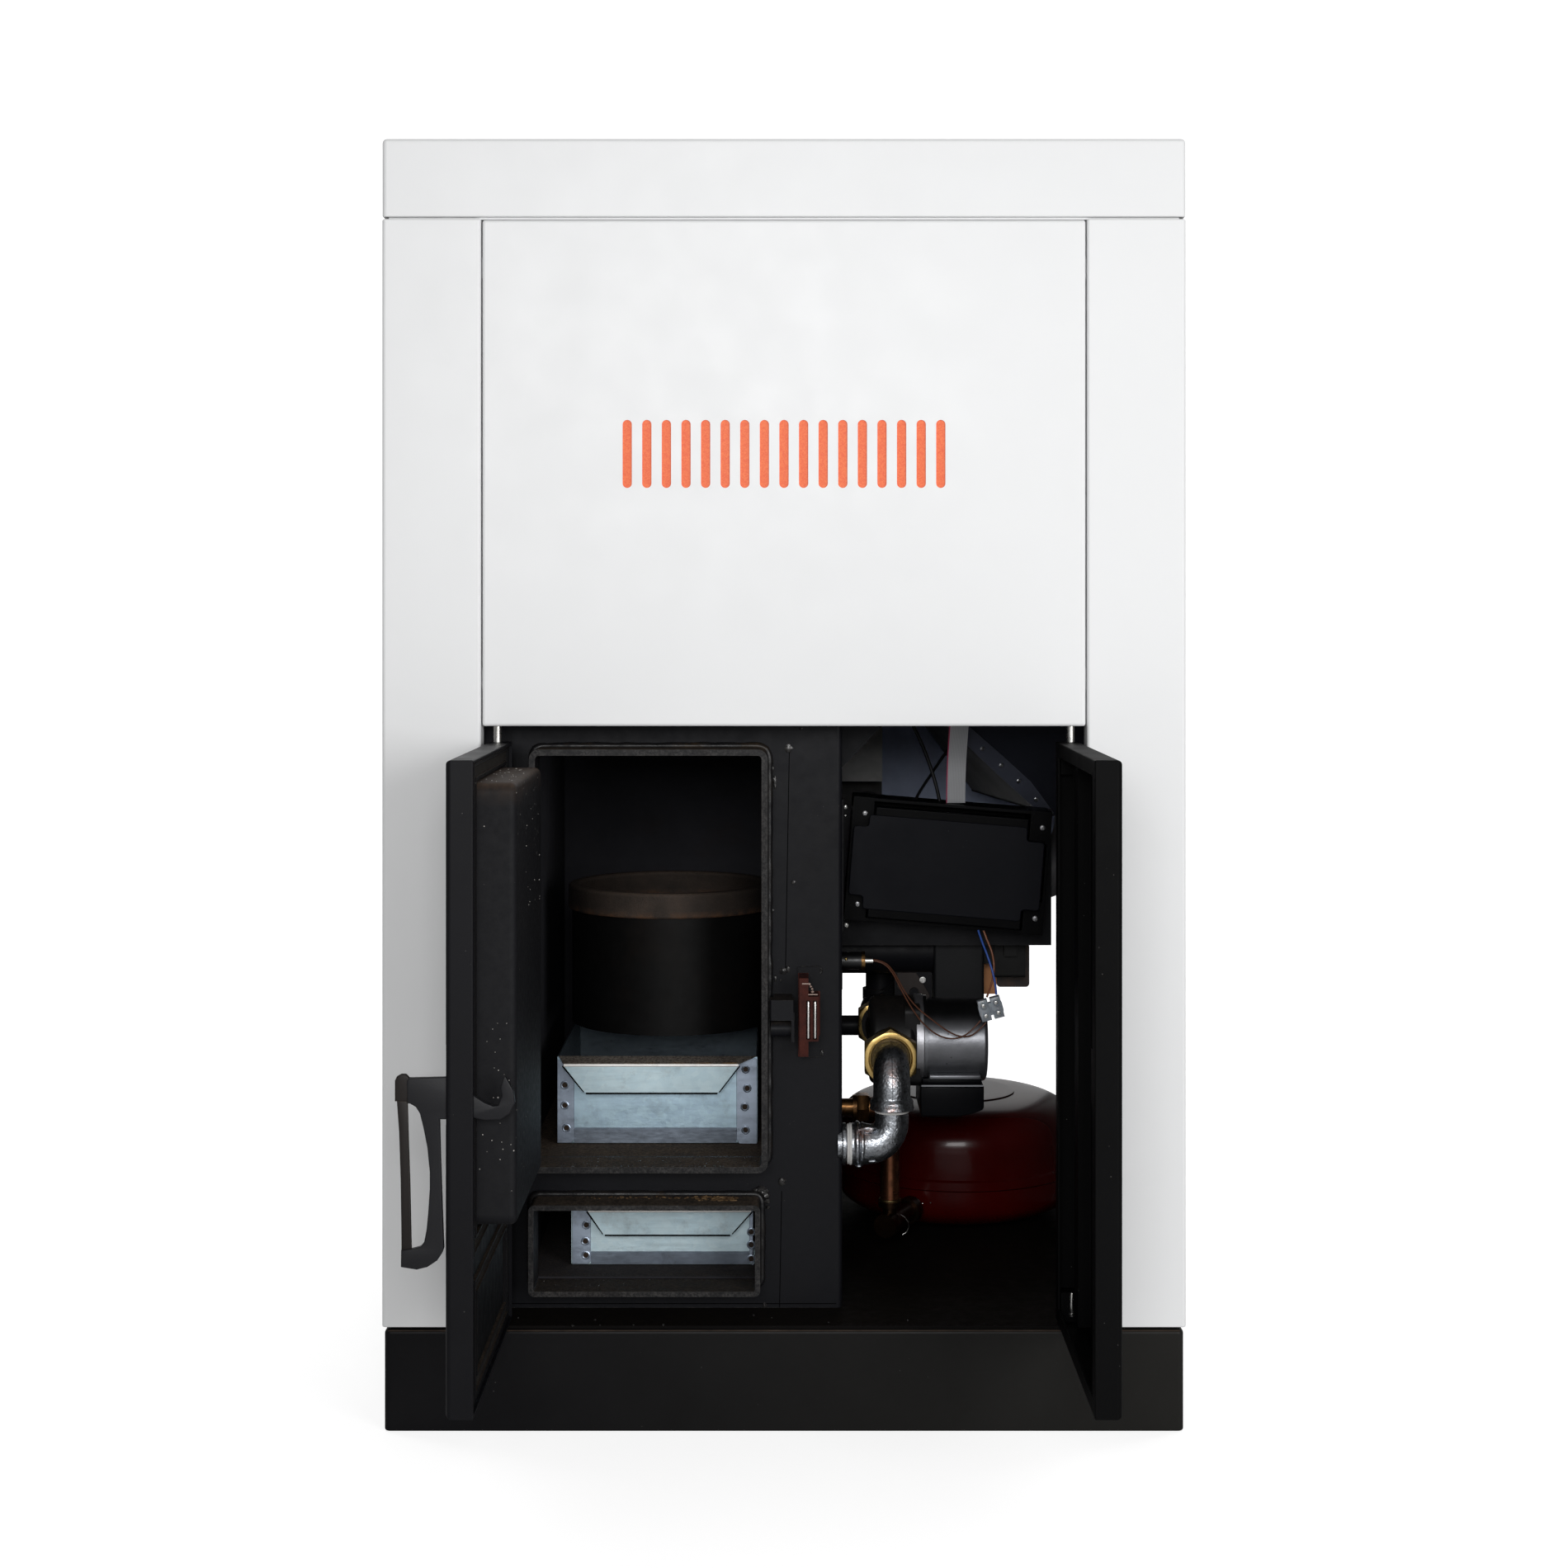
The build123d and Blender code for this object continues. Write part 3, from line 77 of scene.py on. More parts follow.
# ------------------------------------------------------------------ materials
class Mat:
    """A small writer of node materials. Textures run on object coordinates, so they stay with a piece that moves."""

    def __init__(self, name):
        self.m = bpy.data.materials.new(name)
        self.m.use_nodes = True
        self.nt = self.m.node_tree
        self.b = self.nt.nodes["Principled BSDF"]
        self.co = self.nt.nodes.new("ShaderNodeTexCoord").outputs["Object"]
        self.normal = None

    def node(self, kind, **props):
        n = self.nt.nodes.new(kind)
        for k, v in props.items():
            setattr(n, k, v)
        return n

    def put(self, socket, value):
        if hasattr(value, "is_output"):
            self.nt.links.new(value, socket)
        else:
            socket.default_value = value

    def set(self, **values):
        names = {
            "color": "Base Color", "rough": "Roughness", "metal": "Metallic", "spec": "Specular IOR Level",
            "coat": "Coat Weight", "coat_rough": "Coat Roughness", "normal": "Normal", "sheen": "Sheen Weight",
            "aniso": "Anisotropic", "alpha": "Alpha", "trans": "Transmission Weight", "ior": "IOR",
            "sss": "Subsurface Weight", "emit": "Emission Color", "emit_s": "Emission Strength",
        }
        for k, v in values.items():
            if k in ("color", "emit") and isinstance(v, tuple) and len(v) == 3:
                v = (*v, 1.0)
            self.put(self.b.inputs[names[k]], v)
        return self

    def stretch(self, x, y, z):
        n = self.node("ShaderNodeVectorMath", operation="MULTIPLY")
        self.nt.links.new(self.co, n.inputs[0])
        n.inputs[1].default_value = (x, y, z)
        return n.outputs[0]

    def noise(self, scale, detail=3.0, rough=0.55, dist=0.0, co=None):
        n = self.node("ShaderNodeTexNoise")
        self.nt.links.new(co or self.co, n.inputs["Vector"])
        n.inputs["Scale"].default_value = scale
        n.inputs["Detail"].default_value = detail
        n.inputs["Roughness"].default_value = rough
        n.inputs["Distortion"].default_value = dist
        return n.outputs["Fac"]

    def cells(self, scale, feature="F1", out="Distance", co=None, rand=1.0):
        n = self.node("ShaderNodeTexVoronoi", feature=feature)
        self.nt.links.new(co or self.co, n.inputs["Vector"])
        n.inputs["Scale"].default_value = scale
        n.inputs["Randomness"].default_value = rand
        return n.outputs[out]

    def ramp(self, fac, *stops, out="Color", mode="LINEAR"):
        n = self.node("ShaderNodeValToRGB")
        n.color_ramp.interpolation = mode
        e = n.color_ramp.elements
        while len(e) < len(stops):
            e.new(0.5)
        for el, (pos, val) in zip(e, stops):
            el.position = pos
            el.color = (val, val, val, 1) if not hasattr(val, "__len__") else (*val[:3], 1)
        self.nt.links.new(fac, n.inputs[0])
        return n.outputs[out]

    def mix(self, fac, a, b, blend="MIX"):
        n = self.node("ShaderNodeMix", data_type="RGBA", blend_type=blend)
        self.put(n.inputs[0], fac)
        for s, v in ((n.inputs[6], a), (n.inputs[7], b)):
            self.put(s, (*v, 1.0) if isinstance(v, tuple) and len(v) == 3 else v)
        return n.outputs[2]

    def math(self, op, a, b=0.0, c=0.0):
        n = self.node("ShaderNodeMath", operation=op)
        for s, v in zip(n.inputs, (a, b, c)):
            self.put(s, v)
        return n.outputs[0]

    def range(self, v, a, b, c=0.0, d=1.0):
        n = self.node("ShaderNodeMapRange")
        self.nt.links.new(v, n.inputs[0])
        for s, x in zip(list(n.inputs)[1:5], (a, b, c, d)):
            s.default_value = x
        return n.outputs[0]

    def xyz(self, axis, co=None):
        n = self.node("ShaderNodeSeparateXYZ")
        self.nt.links.new(co or self.co, n.inputs[0])
        return n.outputs[axis]

    def up(self):
        """How far the surface faces upwards."""
        g = self.node("ShaderNodeNewGeometry")
        return self.xyz(2, g.outputs["Normal"])

    def spot(self, x, y, z, painted_shade_inside, outer):
        """1 near a place of the object (mm, depth behind the front), 0 away from it."""
        n = self.node("ShaderNodeVectorMath", operation="DISTANCE")
        self.nt.links.new(self.co, n.inputs[0])
        n.inputs[1].default_value = P(x, y, z)
        return self.range(n.outputs["Value"], painted_shade_inside / 1000, outer / 1000, 1.0, 0.0)

    def edges(self, radius=0.0015, lo=0.03, hi=0.25):
        """1 along sharp edges, 0 elsewhere."""
        bev = self.node("ShaderNodeBevel", samples=4)
        bev.inputs["Radius"].default_value = radius
        g = self.node("ShaderNodeNewGeometry")
        d = self.node("ShaderNodeVectorMath", operation="DOT_PRODUCT")
        self.nt.links.new(bev.outputs[0], d.inputs[0])
        self.nt.links.new(g.outputs["Normal"], d.inputs[1])
        return self.range(self.math("SUBTRACT", 1.0, d.outputs["Value"]), lo, hi)

    def bump(self, height, strength, distance):
        n = self.node("ShaderNodeBump")
        n.inputs["Strength"].default_value = strength
        n.inputs["Distance"].default_value = distance
        self.nt.links.new(height, n.inputs["Height"])
        if self.normal is not None:
            self.nt.links.new(self.normal, n.inputs["Normal"])
        self.normal = n.outputs[0]
        self.nt.links.new(self.normal, self.b.inputs["Normal"])
        return self


def powder_coat(name, color, rough, spec, peel=0.10, wear=None, dust=0.0, coat=0.0, vary=0.02, right=None):
    m = Mat(name)
    tone = m.noise(3.0, 3)
    dark = tuple(c * (1 - 1.5 * vary) for c in color)
    light = tuple(min(1.0, c * (1 + vary)) for c in color)
    col = m.mix(m.ramp(tone, (0.35, 0.0), (0.7, 1.0)), dark, light)
    # painted light: the colour blends across X into a lighter tone towards positive X
    if right:
        col = m.mix(m.range(m.xyz(0), -0.30, 0.36), col, right)
    r = m.range(m.noise(22.0, 4), 0.3, 0.7, rough - 0.04, rough + 0.05)
    if dust:
        specks = m.ramp(m.cells(120.0), (0.0, 1.0), (0.05, 1.0), (0.07, 0.0))
        gate = m.ramp(m.noise(19.0, 2), (0.56, 0.0), (0.64, 1.0))
        col = m.mix(m.math("MULTIPLY", m.math("MULTIPLY", specks, gate), dust), col, (0.22, 0.21, 0.20))
    if wear:
        col = m.mix(m.math("MULTIPLY", m.edges(0.0012, 0.05, 0.35), m.range(m.noise(60.0, 4), 0.42, 0.62)), col, wear)
    m.set(color=col, rough=r, spec=spec)
    if coat:
        m.set(coat=coat, coat_rough=0.12)
    m.bump(m.noise(750.0, 2), peel, 0.0004)
    m.bump(m.noise(14.0, 2), 0.05, 0.004)
    return m.m


def dark_plate(name, base, rough=0.5, spec=0.2, rust=0.25, dust=0.35, wear=0.5, specks=0.4, front_edge=None, bright=1.6, low_dust=1.0):
    """Painted boiler plate: patchy sheen, brownish dust on what faces up, thin bare edges."""
    m = Mat(name)
    big = m.noise(5.0, 5, 0.6, 0.3)
    fine = m.noise(70.0, 5, 0.65)
    col = m.mix(m.ramp(big, (0.32, 0.0), (0.75, 1.0)), base, tuple(c * bright for c in base))
    brown = m.ramp(m.noise(16.0, 6, 0.7), (0.52, 0.0), (0.74, 1.0))
    col = m.mix(m.math("MULTIPLY", brown, rust), col, (0.020, 0.011, 0.006))
    if front_edge is not None:
        worn = m.math("MULTIPLY", m.range(m.xyz(1), front_edge + 0.0009, front_edge + 0.0004), m.range(m.noise(85.0, 5, 0.7), 0.28, 0.60))
        tone = m.mix(m.ramp(m.noise(460.0, 4, 0.75), (0.40, 0.0), (0.62, 1.0)), (0.012, 0.0115, 0.0120), (0.095, 0.090, 0.086))
        col = m.mix(m.math("MULTIPLY", worn, 0.45), col, tone)
    up = m.range(m.up(), 0.45, 0.95)
    grit = m.noise(330.0, 4, 0.7)
    tone = m.mix(m.ramp(grit, (0.38, 0.0), (0.62, 1.0)), (0.040, 0.029, 0.021), (0.110, 0.082, 0.058))
    col = m.mix(m.math("MULTIPLY", m.math("MULTIPLY", up, m.range(fine, 0.22, 0.6, 0.35, 1.0)), m.range(m.xyz(2), 0.20, 0.22, dust * low_dust, dust)), col, tone)
    if specks:
        dots = m.ramp(m.cells(150.0), (0.0, 1.0), (0.05, 1.0), (0.075, 0.0))
        gate = m.ramp(m.noise(21.0, 3), (0.54, 0.0), (0.66, 1.0))
        col = m.mix(m.math("MULTIPLY", dots, m.math("MULTIPLY", gate, specks)), col, (0.16, 0.14, 0.12))
    if wear:
        edge = m.math("MULTIPLY", m.edges(0.0011, 0.06, 0.4), m.range(m.noise(110.0, 5, 0.7), 0.40, 0.66))
        col = m.mix(m.math("MULTIPLY", edge, wear), col, (0.13, 0.12, 0.11))
    m.set(color=col, rough=m.math("ADD", m.range(fine, 0.25, 0.75, rough - 0.08, rough + 0.12), m.math("MULTIPLY", up, 0.4 * min(1.0, dust * 1.3))), spec=spec)
    m.bump(fine, 0.16, 0.0007)
    m.bump(m.noise(420.0, 3), 0.16, 0.0003)
    m.bump(m.math("MULTIPLY", up, grit), 0.5 * dust, 0.0012)
    return m.m


def zinc(name, low, high, inside=None, metallic=0.78, grime=0.35):
    """Galvanised sheet: soft clouds, drawn streaks, faint spangle, sooty inside."""
    m = Mat(name)
    clouds = m.noise(13.0, 5, 0.62)
    streak = m.noise(1.0, 4, 0.65, co=m.stretch(8.0, 30.0, 80.0))
    fine = m.noise(1.0, 3, 0.6, co=m.stretch(110.0, 300.0, 420.0))
    col = m.mix(m.ramp(clouds, (0.34, 0.0), (0.66, 1.0)), low, high)
    col = m.mix(m.math("MULTIPLY", m.ramp(streak, (0.48, 0.0), (0.70, 1.0)), 0.45), col, tuple(c * 0.60 for c in low))
    cell = m.xyz(0, m.cells(170.0, out="Color"))
    col = m.mix(m.math("MULTIPLY", cell, 0.20), col, tuple(min(1.0, c * 1.3) for c in high))
    dirt = m.ramp(m.noise(30.0, 6, 0.72), (0.54, 0.0), (0.74, 1.0))
    col = m.mix(m.math("MULTIPLY", dirt, grime), col, (0.085, 0.070, 0.058))
    dots = m.ramp(m.cells(210.0), (0.0, 1.0), (0.05, 1.0), (0.09, 0.0))
    gate = m.ramp(m.noise(34.0, 3), (0.55, 0.0), (0.65, 1.0))
    col = m.mix(m.math("MULTIPLY", m.math("MULTIPLY", dots, gate), 0.5), col, (0.05, 0.04, 0.032))
    if inside is not None:
        col = m.mix(m.range(m.xyz(1), FRONT + inside / 1000 - 0.0004, FRONT + inside / 1000 + 0.0004, 0.0, 0.86), col, (0.045, 0.050, 0.060))
    m.set(color=col, rough=m.range(fine, 0.25, 0.75, 0.27, 0.46), metal=metallic)
    m.bump(m.noise(9.0, 2), 0.10, 0.006)
    m.bump(fine, 0.10, 0.0003)
    m.bump(m.noise(300.0, 3), 0.10, 0.0004)
    return m.m


def gritty_rim():
    m = Mat("galvanised_dusty_rim")
    grit = m.noise(420.0, 4, 0.75)
    col = m.mix(m.ramp(grit, (0.36, 0.0), (0.64, 1.0)), (0.035, 0.028, 0.022), (0.27, 0.235, 0.20))
    col = m.mix(m.math("MULTIPLY", m.ramp(m.noise(60.0, 4, 0.7), (0.5, 0.0), (0.7, 1.0)), 0.6), col, (0.05, 0.034, 0.022))
    m.set(color=col, rough=0.75, spec=0.3, metal=0.2)
    m.bump(grit, 0.6, 0.0009)
    return m.m


def metal(name, color, rough, bumps=(), stain=None, stain_amount=0.4, metallic=1.0, spangle=0.0):
    m = Mat(name)
    col = m.mix(m.ramp(m.noise(40.0, 4), (0.3, 0.0), (0.75, 1.0)), tuple(c * 0.82 for c in color), color)
    if spangle:
        cell = m.ramp(m.xyz(0, m.cells(130.0, out="Color")), (0.0, 0.0), (1.0, 1.0))
        col = m.mix(m.math("MULTIPLY", cell, spangle), col, tuple(min(1, c * 1.25) for c in color))
    if stain:
        s = m.ramp(m.noise(24.0, 6, 0.7), (0.5, 0.0), (0.72, 1.0))
        col = m.mix(m.math("MULTIPLY", s, stain_amount), col, stain)
    m.set(color=col, rough=m.range(m.noise(90.0, 4), 0.25, 0.75, rough - 0.07, rough + 0.1), metal=metallic)
    for scale, strength, dist in bumps:
        m.bump(m.noise(scale, 3), strength, dist)
    return m.m


def plastic(name, color, rough=0.42, spec=0.4, grain=0.12):
    m = Mat(name)
    col = m.mix(m.ramp(m.noise(9.0, 4), (0.35, 0.0), (0.7, 1.0)), tuple(c * 0.9 for c in color), color)
    specks = m.ramp(m.cells(150.0), (0.0, 1.0), (0.025, 1.0), (0.04, 0.0))
    gate = m.ramp(m.noise(12.0, 2), (0.55, 0.0), (0.7, 1.0))
    col = m.mix(m.math("MULTIPLY", m.math("MULTIPLY", specks, gate), 0.35), col, (0.4, 0.38, 0.35))
    m.set(color=col, rough=m.range(m.noise(30.0, 4), 0.3, 0.7, rough - 0.05, rough + 0.07), spec=spec)
    m.bump(m.noise(900.0, 2), grain, 0.0003)
    return m.m


WHITE = powder_coat("white_powder_coat", (0.815, 0.82, 0.825), 0.36, 0.35, peel=0.06, vary=0.006)
BLACK = powder_coat("black_powder_coat", (0.0050, 0.0050, 0.0066), 0.44, 0.15, peel=0.14, dust=0.5, vary=0.15)
BLACK_RIGHT = powder_coat("black_coat_right_door", (0.0020, 0.0020, 0.0022), 0.55, 0.06, peel=0.12, dust=0.3, vary=0.15)
# plinth: its coat grows lighter from left towards positive X, painted light and shade
PLINTH = powder_coat("plinth_black_coat", (0.0040, 0.0038, 0.0046), 0.42, 0.13, peel=0.12, dust=0.35, vary=0.1, right=(0.0125, 0.0120, 0.0108))
LEVER = powder_coat("lever_black_coat", (0.0105, 0.0105, 0.0125), 0.42, 0.25, peel=0.16, wear=(0.06, 0.055, 0.05), vary=0.1)
LEVER_BAR = powder_coat("lever_bar_coat", (0.0155, 0.0125, 0.0115), 0.5, 0.2, peel=0.2, wear=(0.08, 0.06, 0.045), vary=0.2)
PLATE = dark_plate("boiler_plate", (0.0056, 0.0058, 0.0074), 0.46, 0.13, rust=0.06, dust=0.25, specks=0.25, bright=1.35)
FRAME = dark_plate("frame_plate", (0.0062, 0.0062, 0.0070), 0.48, 0.16, rust=0.35, dust=0.9, wear=0.55, front_edge=FRONT + 0.023, low_dust=0.35)
FIREBOX = dark_plate("sooty_plate", (0.017, 0.017, 0.020), 0.8, 0.10, rust=0.3, dust=1.0, wear=0, specks=0.2, low_dust=0.25)
LINER = dark_plate("door_liner_plate", (0.0036, 0.0036, 0.0042), 0.52, 0.10, rust=0.15, dust=0.5, wear=0.2, specks=0.5)
POT = dark_plate("burner_pot_steel", (0.0022, 0.0021, 0.0021), 0.5, 0.10, rust=0.12, dust=0.25, wear=0, specks=0.15)
FLOOR = dark_plate("floor_plate", (0.0030, 0.0026, 0.0024), 0.6, 0.06, rust=0.1, dust=0.05, wear=0, specks=0)
HOPPER = powder_coat("hopper_coat", (0.0165, 0.0180, 0.0255), 0.62, 0.10, peel=0.12, vary=0.2)
CHUTE = powder_coat("chute_coat", (0.0105, 0.0110, 0.0125), 0.5, 0.16, peel=0.12, vary=0.1)
ZINC = zinc("galvanised_sheet", (0.385, 0.525, 0.635), (0.56, 0.745, 0.87), inside=125.5)
# brighter, less metallic copy of the galvanised sheet for the lower pan and the pan flaps: painted light
ZINC_LIT_COPY = zinc("galvanised_sheet_lit_copy", (0.52, 0.68, 0.75), (0.68, 0.86, 0.93), inside=111.5, metallic=0.55)
ZINC_TAB = zinc("galvanised_tab", (0.27, 0.315, 0.40), (0.46, 0.54, 0.65), grime=0.5)
ZINC_ROLL_PAINTED_HIGHLIGHT = metal("galvanised_roll_painted_highlight", (0.95, 0.93, 0.90), 0.34, ((300.0, 0.15, 0.0004),), metallic=0.45)
ZINC_DUSTY = gritty_rim()
GALV = metal("galvanised_panel", (0.42, 0.42, 0.42), 0.5, ((200.0, 0.06, 0.0004),), spangle=0.3, metallic=0.25)
IRON = metal("galvanised_iron_casting", (0.50, 0.51, 0.53), 0.30, ((420.0, 0.5, 0.0006), (120.0, 0.55, 0.0016)), stain=(0.12, 0.10, 0.085), stain_amount=0.6)
BRASS = metal("brass", (0.66, 0.46, 0.17), 0.30, ((160.0, 0.2, 0.0006),), stain=(0.16, 0.10, 0.035), stain_amount=0.6)
BRASS_DARK = metal("stained_brass", (0.16, 0.11, 0.05), 0.42, ((160.0, 0.35, 0.0008),), stain=(0.03, 0.02, 0.012), stain_amount=0.8)
COPPER = metal("copper", (0.62, 0.27, 0.14), 0.32, ((120.0, 0.12, 0.0006),), stain=(0.2, 0.08, 0.04), stain_amount=0.6)
STEEL = metal("zinc_plated_steel", (0.62, 0.62, 0.6), 0.27, ((500.0, 0.1, 0.0003),), stain=(0.3, 0.27, 0.22), stain_amount=0.4)
CATCH_STEEL = metal("catch_steel", (0.85, 0.83, 0.8), 0.25, ((300.0, 0.08, 0.0003),), metallic=0.7)
BOX = plastic("box_black_plastic", (0.0010, 0.0010, 0.0014), 0.34, 0.055, 0.1)
BOX_FACE = plastic("box_lid_face", (0.0034, 0.0038, 0.0066), 0.44, 0.09, 0.16)
PUMP_BLACK = plastic("pump_box_plastic", (0.0020, 0.0022, 0.0034), 0.36, 0.08)
WIRE_BLUE = plastic("blue_insulation", (0.02, 0.09, 0.42), 0.35, 0.5, 0.03)
WIRE_BROWN = plastic("brown_insulation", (0.23, 0.075, 0.03), 0.35, 0.5, 0.03)
WIRE_SENSOR = plastic("sensor_insulation", (0.115, 0.036, 0.014), 0.35, 0.4, 0.03)
CABLE_BLACK = plastic("black_cable", (0.0035, 0.0035, 0.0042), 0.42, 0.30, 0.05)


def catch_plastic():
    """Brown mouldings of the catch; the steel it sits on is painted like the plate behind."""
    m = Mat("catch_brown_plastic")
    x, z = m.xyz(0), m.xyz(2)
    col = m.mix(m.ramp(m.noise(90.0, 5, 0.7), (0.35, 0.0), (0.7, 1.0)), (0.030, 0.0058, 0.0036), (0.062, 0.0120, 0.0070))
    off = m.math("MAXIMUM", m.math("GREATER_THAN", z, 0.4172), m.math("LESS_THAN", z, 0.3728))
    base = m.math("MULTIPLY", m.math("GREATER_THAN", x, 0.0243), off)
    base = m.math("MAXIMUM", base, m.math("GREATER_THAN", z, 0.4352))
    col = m.mix(base, col, (0.0062, 0.0063, 0.0078))
    m.set(color=col, rough=0.42, spec=0.12)
    m.bump(m.noise(500.0, 3), 0.15, 0.0004)
    return m.m


CATCH = catch_plastic()
DISPLAY = plastic("display_gloss", (0.008, 0.008, 0.010), 0.12, 0.5, 0.0)
RUBBER = plastic("button_rubber", (0.10, 0.10, 0.11), 0.6, 0.3, 0.2)
SWITCH = plastic("switch_plastic", (0.012, 0.012, 0.013), 0.2, 0.5, 0.02)
PUMP = dark_plate("pump_paint", (0.0062, 0.0060, 0.0064), 0.40, 0.2, rust=0.1, dust=0.1, wear=0.3, specks=0)


def motor_coat():
    """Sprayed motor housing, with painted shade darkening its upper side."""
    m = Mat("pump_motor_coat")
    fine = m.noise(500.0, 3)
    col = m.mix(m.ramp(m.noise(40.0, 4), (0.3, 0.0), (0.75, 1.0)), (0.19, 0.195, 0.21), (0.25, 0.255, 0.275))
    # painted shade: the housing turns dark towards its top
    painted_dark_top = m.math("MULTIPLY", m.range(m.xyz(2), 0.352, 0.374), m.range(m.noise(22.0, 4), 0.2, 0.5, 0.75, 0.95))
    col = m.mix(painted_dark_top, col, (0.022, 0.022, 0.024))
    dots = m.ramp(m.cells(70.0), (0.0, 1.0), (0.05, 1.0), (0.08, 0.0))
    col = m.mix(m.math("MULTIPLY", dots, 0.6), col, (0.02, 0.02, 0.022))
    m.set(color=col, rough=m.range(m.noise(90.0, 4), 0.25, 0.75, 0.28, 0.44), metal=0.85)
    m.bump(fine, 0.18, 0.0004)
    return m.m


MOTOR = motor_coat()
ALU = metal("cast_aluminium", (0.50, 0.50, 0.53), 0.38, ((380.0, 0.25, 0.0005),), metallic=0.9)
ELBOW_BLACK = metal("black_gloss_elbow", (0.010, 0.010, 0.011), 0.16, ((90.0, 0.1, 0.0008),), metallic=0.0)
NECK = dark_plate("neck_cover_plate", (0.028, 0.022, 0.020), 0.5, 0.22, rust=0.3, dust=0.1, wear=0.3, specks=0)
BOX_SCREW = metal("box_screw_black_zinc", (0.28, 0.28, 0.29), 0.33, ((500.0, 0.1, 0.0003),))
GEARBOX = dark_plate("gearbox_paint", (0.0085, 0.0085, 0.0085), 0.5, 0.15, rust=0.3, dust=0.2, wear=0.3, specks=0)
RUST_DARK = dark_plate("edge_rust_line", (0.020, 0.0115, 0.0065), 0.5, 0.2, rust=0.2, dust=0.15, wear=0, specks=0)
CATCH_PAINTED_HIGHLIGHT = plastic("catch_rib_painted_highlight", (0.36, 0.26, 0.22), 0.35, 0.4, 0.05)
SEAM_STRIP = powder_coat("hopper_seam_coat", (0.050, 0.055, 0.075), 0.40, 0.40, peel=0.12, vary=0.15, wear=(0.10, 0.105, 0.12))
SEAM_RIVET = metal("rivet_aluminium", (0.55, 0.56, 0.58), 0.30, ((400.0, 0.1, 0.0003),), stain=(0.2, 0.2, 0.2), stain_amount=0.4)
SEAL = plastic("pale_seal", (0.36, 0.37, 0.40), 0.4, 0.4, 0.05)
DUST = plastic("pale_grit", (0.42, 0.40, 0.37), 0.6, 0.3, 0.2)
# near-black for seam lines on the plate and for painted shadows at the pan flaps
DARK = powder_coat("seam_line_and_painted_shadow", (0.0012, 0.0012, 0.0014), 0.7, 0.03, peel=0.1, vary=0.2)


def laminations():
    m = Mat("motor_laminations")
    wave = m.node("ShaderNodeTexWave", bands_direction="Y")
    m.nt.links.new(m.co, wave.inputs["Vector"])
    wave.inputs["Scale"].default_value = 320.0
    wave.inputs["Distortion"].default_value = 0.4
    col = m.mix(m.ramp(m.noise(60.0, 5), (0.35, 0.0), (0.7, 1.0)), (0.016, 0.009, 0.007), (0.055, 0.024, 0.012))
    winding = m.mix(m.noise(70.0, 4), (0.42, 0.16, 0.05), (0.62, 0.27, 0.10))
    col = m.mix(m.math("LESS_THAN", m.xyz(0), 0.2341), col, winding)
    m.set(color=col, rough=0.45, metal=0.1)
    m.bump(wave.outputs["Fac"], 0.4, 0.0005)
    return m.m


def coil_wrap():
    m = Mat("coil_wrap")
    wave = m.node("ShaderNodeTexWave", bands_direction="Z")
    m.nt.links.new(m.co, wave.inputs["Vector"])
    wave.inputs["Scale"].default_value = 160.0
    col = m.mix(m.noise(50.0, 4), (0.85, 0.30, 0.075), (0.98, 0.46, 0.15))
    m.set(color=col, rough=0.42)
    m.bump(wave.outputs["Fac"], 0.3, 0.0006)
    return m.m


def orange():
    m = Mat("orange_metallic_coat")
    flakes = m.cells(900.0, out="Color")
    col = m.mix(m.math("MULTIPLY", m.xyz(0, flakes), 0.55), (0.80, 0.10, 0.018), (0.95, 0.24, 0.06))
    m.set(color=col, rough=0.42, spec=0.4)
    m.bump(m.xyz(1, flakes), 0.2, 0.0003)
    return m.m


def red_gloss():
    m = Mat("red_gloss_paint")
    col = m.mix(m.ramp(m.noise(7.0, 3), (0.3, 0.0), (0.7, 1.0)), (0.036, 0.0008, 0.0005), (0.066, 0.0012, 0.0008))
    m.set(color=col, rough=0.24, spec=0.2, coat=0.12, coat_rough=0.06)
    m.bump(m.noise(260.0, 2), 0.04, 0.0004)
    return m.m


def ribbon():
    m = Mat("ribbon_insulation")
    x = m.xyz(0)
    lane = m.math("FRACT", m.math("MULTIPLY", m.math("SUBTRACT", x, 0.1703), 1.0 / 0.00125))
    groove = m.ramp(m.math("ABSOLUTE", m.math("SUBTRACT", lane, 0.5)), (0.0, 1.0), (0.36, 1.0), (0.5, 0.0))
    col = m.mix(groove, (0.16, 0.16, 0.165), (0.40, 0.405, 0.42))
    red = m.math("LESS_THAN", x, 0.1715)
    col = m.mix(red, col, (0.35, 0.04, 0.10))
    m.set(color=col, rough=0.36, spec=0.5)
    m.bump(groove, 0.5, 0.0004)
    return m.m


